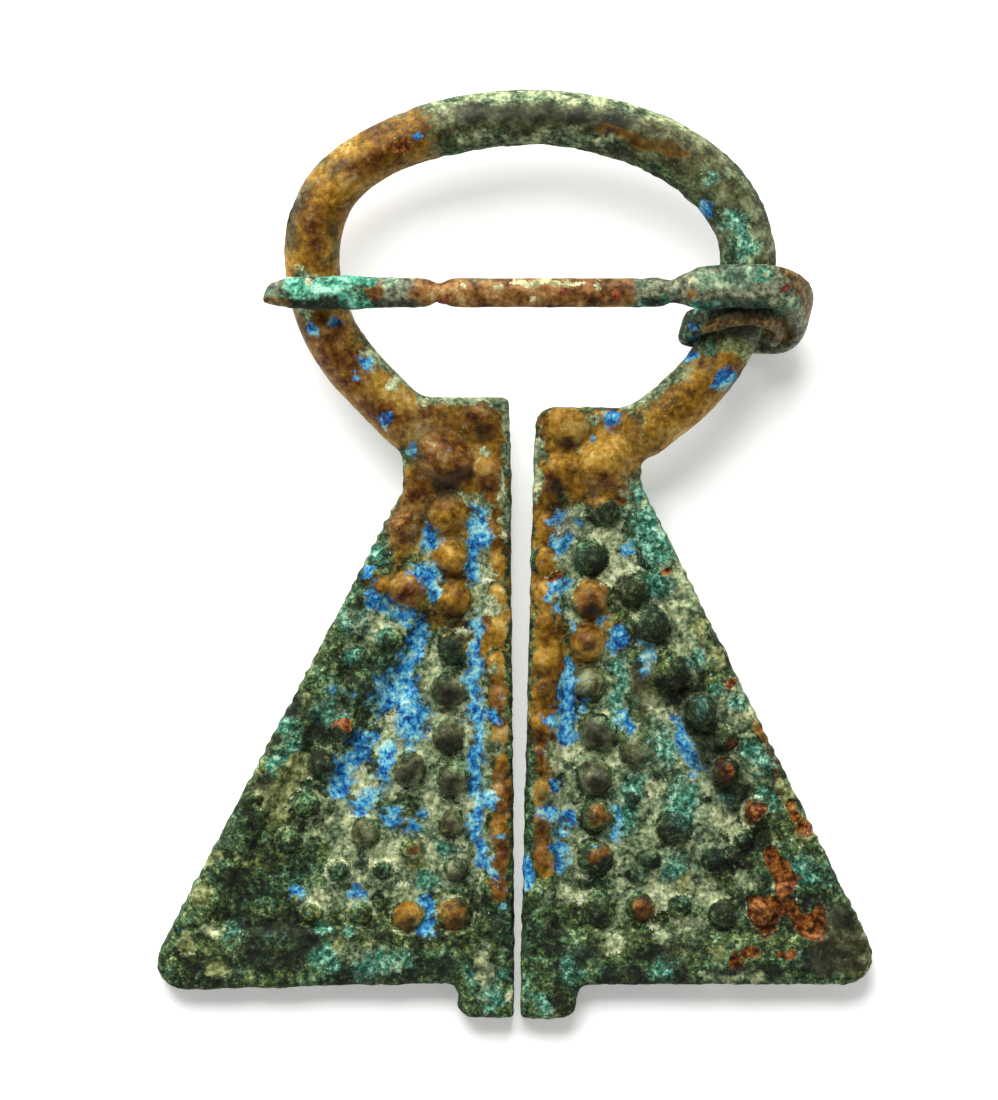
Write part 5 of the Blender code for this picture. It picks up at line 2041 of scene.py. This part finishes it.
@dataclass(frozen=True)
class Studio:
    """White table, soft light from the top of the picture, and the camera above."""

    table_size: float = 1.6
    table_colour: str = "f4f4f2"
    table_roughness: float = 0.9
    sky_colour: str = "ffffff"
    zenith_strength: float = 0.1
    horizon_strength: float = 5.2
    horizon_falloff: float = 4.0
    far_side: float = 0.25
    table_glow: float = 0.25
    lamp_size: float = 0.42
    lamp_place: tuple[float, float, float] = (-0.1, 0.38, 0.3)
    lamp_power: float = 6.0
    view_centre: tuple[float, float, float] = (-0.00113, 0.00039, 0.0035)
    view_height: float = 0.07777
    lens: float = 300.0
    sensor: float = 36.0
    clip: tuple[float, float] = (0.01, 10.0)

    def table(self) -> bpy.types.Object:
        """Add the table, which is a matt white sheet.

        Returns:
            The table.
        """
        half = self.table_size / 2
        corners = ((-half, -half, 0.0), (half, -half, 0.0), (half, half, 0.0), (-half, half, 0.0))
        mesh = make_mesh("table", np.array(corners), [[0, 1, 2, 3]])
        # Matt white card: no gloss on it, only the soft shadow under the brooch.
        material = bpy.data.materials.new("white_paper_matt")
        material.use_nodes = True
        tree = material.node_tree
        shader = tree.nodes["Principled BSDF"]
        shader.inputs["Base Color"].default_value = linear_colour(self.table_colour)
        shader.inputs["Roughness"].default_value = self.table_roughness
        shader.inputs["Emission Color"].default_value = linear_colour(self.table_colour)
        shader.inputs["Emission Strength"].default_value = self.table_glow
        mesh.materials.append(material)
        return add_object("table", mesh)

    def light(self) -> None:
        """Add the bright surroundings and the soft lamp."""
        scene = bpy.context.scene
        world = bpy.data.worlds.new("surroundings")
        world.use_nodes = True
        tree = world.node_tree
        way = add_node(tree, "ShaderNodeTexCoord", {}).outputs["Generated"]
        _, far, up = add_node(tree, "ShaderNodeSeparateXYZ", {0: way}).outputs
        # 1 at the horizon and 0 overhead, then bent so that most of the light comes in low.
        limits = {0: up, 1: 0.0, 2: 1.0, 3: 1.0, 4: 0.0}
        low = add_node(tree, "ShaderNodeMapRange", limits).outputs[0]
        settings = {0: low, 1: self.horizon_falloff}
        low = add_node(tree, "ShaderNodeMath", settings, operation="POWER").outputs[0]
        side = add_blend(tree, self.horizon_strength, ((far, self.far_side * self.horizon_strength),))
        settings = {0: low, 1: side, 2: self.zenith_strength}
        strength = add_node(tree, "ShaderNodeMath", settings, operation="MULTIPLY_ADD").outputs[0]
        back = tree.nodes["Background"]
        back.inputs["Color"].default_value = linear_colour(self.sky_colour)
        tree.links.new(strength, back.inputs["Strength"])
        scene.world = world
        lamp = bpy.data.lights.new("window", "AREA")
        lamp.shape = "SQUARE"
        lamp.size = self.lamp_size
        lamp.energy = self.lamp_power
        holder = add_object("window", lamp)
        holder.location = self.lamp_place
        holder.rotation_euler = (-Vector(self.lamp_place)).to_track_quat("-Z", "Y").to_euler()
        scene.view_settings.view_transform = "Standard"

    def camera(self) -> None:
        """Add the camera, which looks straight down."""
        data = bpy.data.cameras.new("camera")
        data.lens = self.lens
        data.sensor_width = self.sensor
        data.clip_start, data.clip_end = self.clip
        camera = add_object("camera", data)
        above = self.lens * self.view_height / self.sensor
        camera.location = Vector(self.view_centre) + Vector((0.0, 0.0, above))
        bpy.context.scene.camera = camera


def brooch_place(pin: Pin, record: dict) -> Matrix:
    """Return the matrix from the brooch's frame to the scene's, both in metres.

    Args:
        pin: The pin, whose hinge is known in both frames.
        record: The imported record.

    Returns:
        The place and the slight turn that the brooch came to rest in.
    """
    back = Vector(record["mounts"][0]["axis"])
    place = Vector((0.0, 0.0, -1.0)).rotation_difference(back).to_matrix().to_4x4()
    hinge = Vector(record["behaviour"]["joints"][0]["pos_m"])
    place.translation = hinge - place.to_3x3() @ (pin.hinge().translation * MM)
    return place


def main() -> None:
    """Build the brooch's pieces, dress them and set up the studio."""
    logging.basicConfig(level=logging.INFO)
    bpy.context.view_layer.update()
    hoop = Hoop()
    plates = (LEFT_PLATE, RIGHT_PLATE)
    casting = Casting(hoop, plates)
    pin = Pin(hoop, plates)
    place = brooch_place(pin, frame["record"])
    pieces = (
        (casting.build(place), CAST_BRONZE, "hoop_and_plates", "brooch_body", "cast_bronze"),
        (pin.build(place), PIN_BRONZE, "pin", "pin_body", "pin_bronze"),
    )
    for piece, finish, node, body, slot in pieces:
        piece.data.materials.append(finish.make())
        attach(piece, body)
        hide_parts(node)
        LOG.info("%s: %d faces in %s", piece.name, len(piece.data.polygons), finish.name)
    studio = Studio()
    studio.table()
    studio.light()
    studio.camera()


if __name__ == "__main__":
    main()
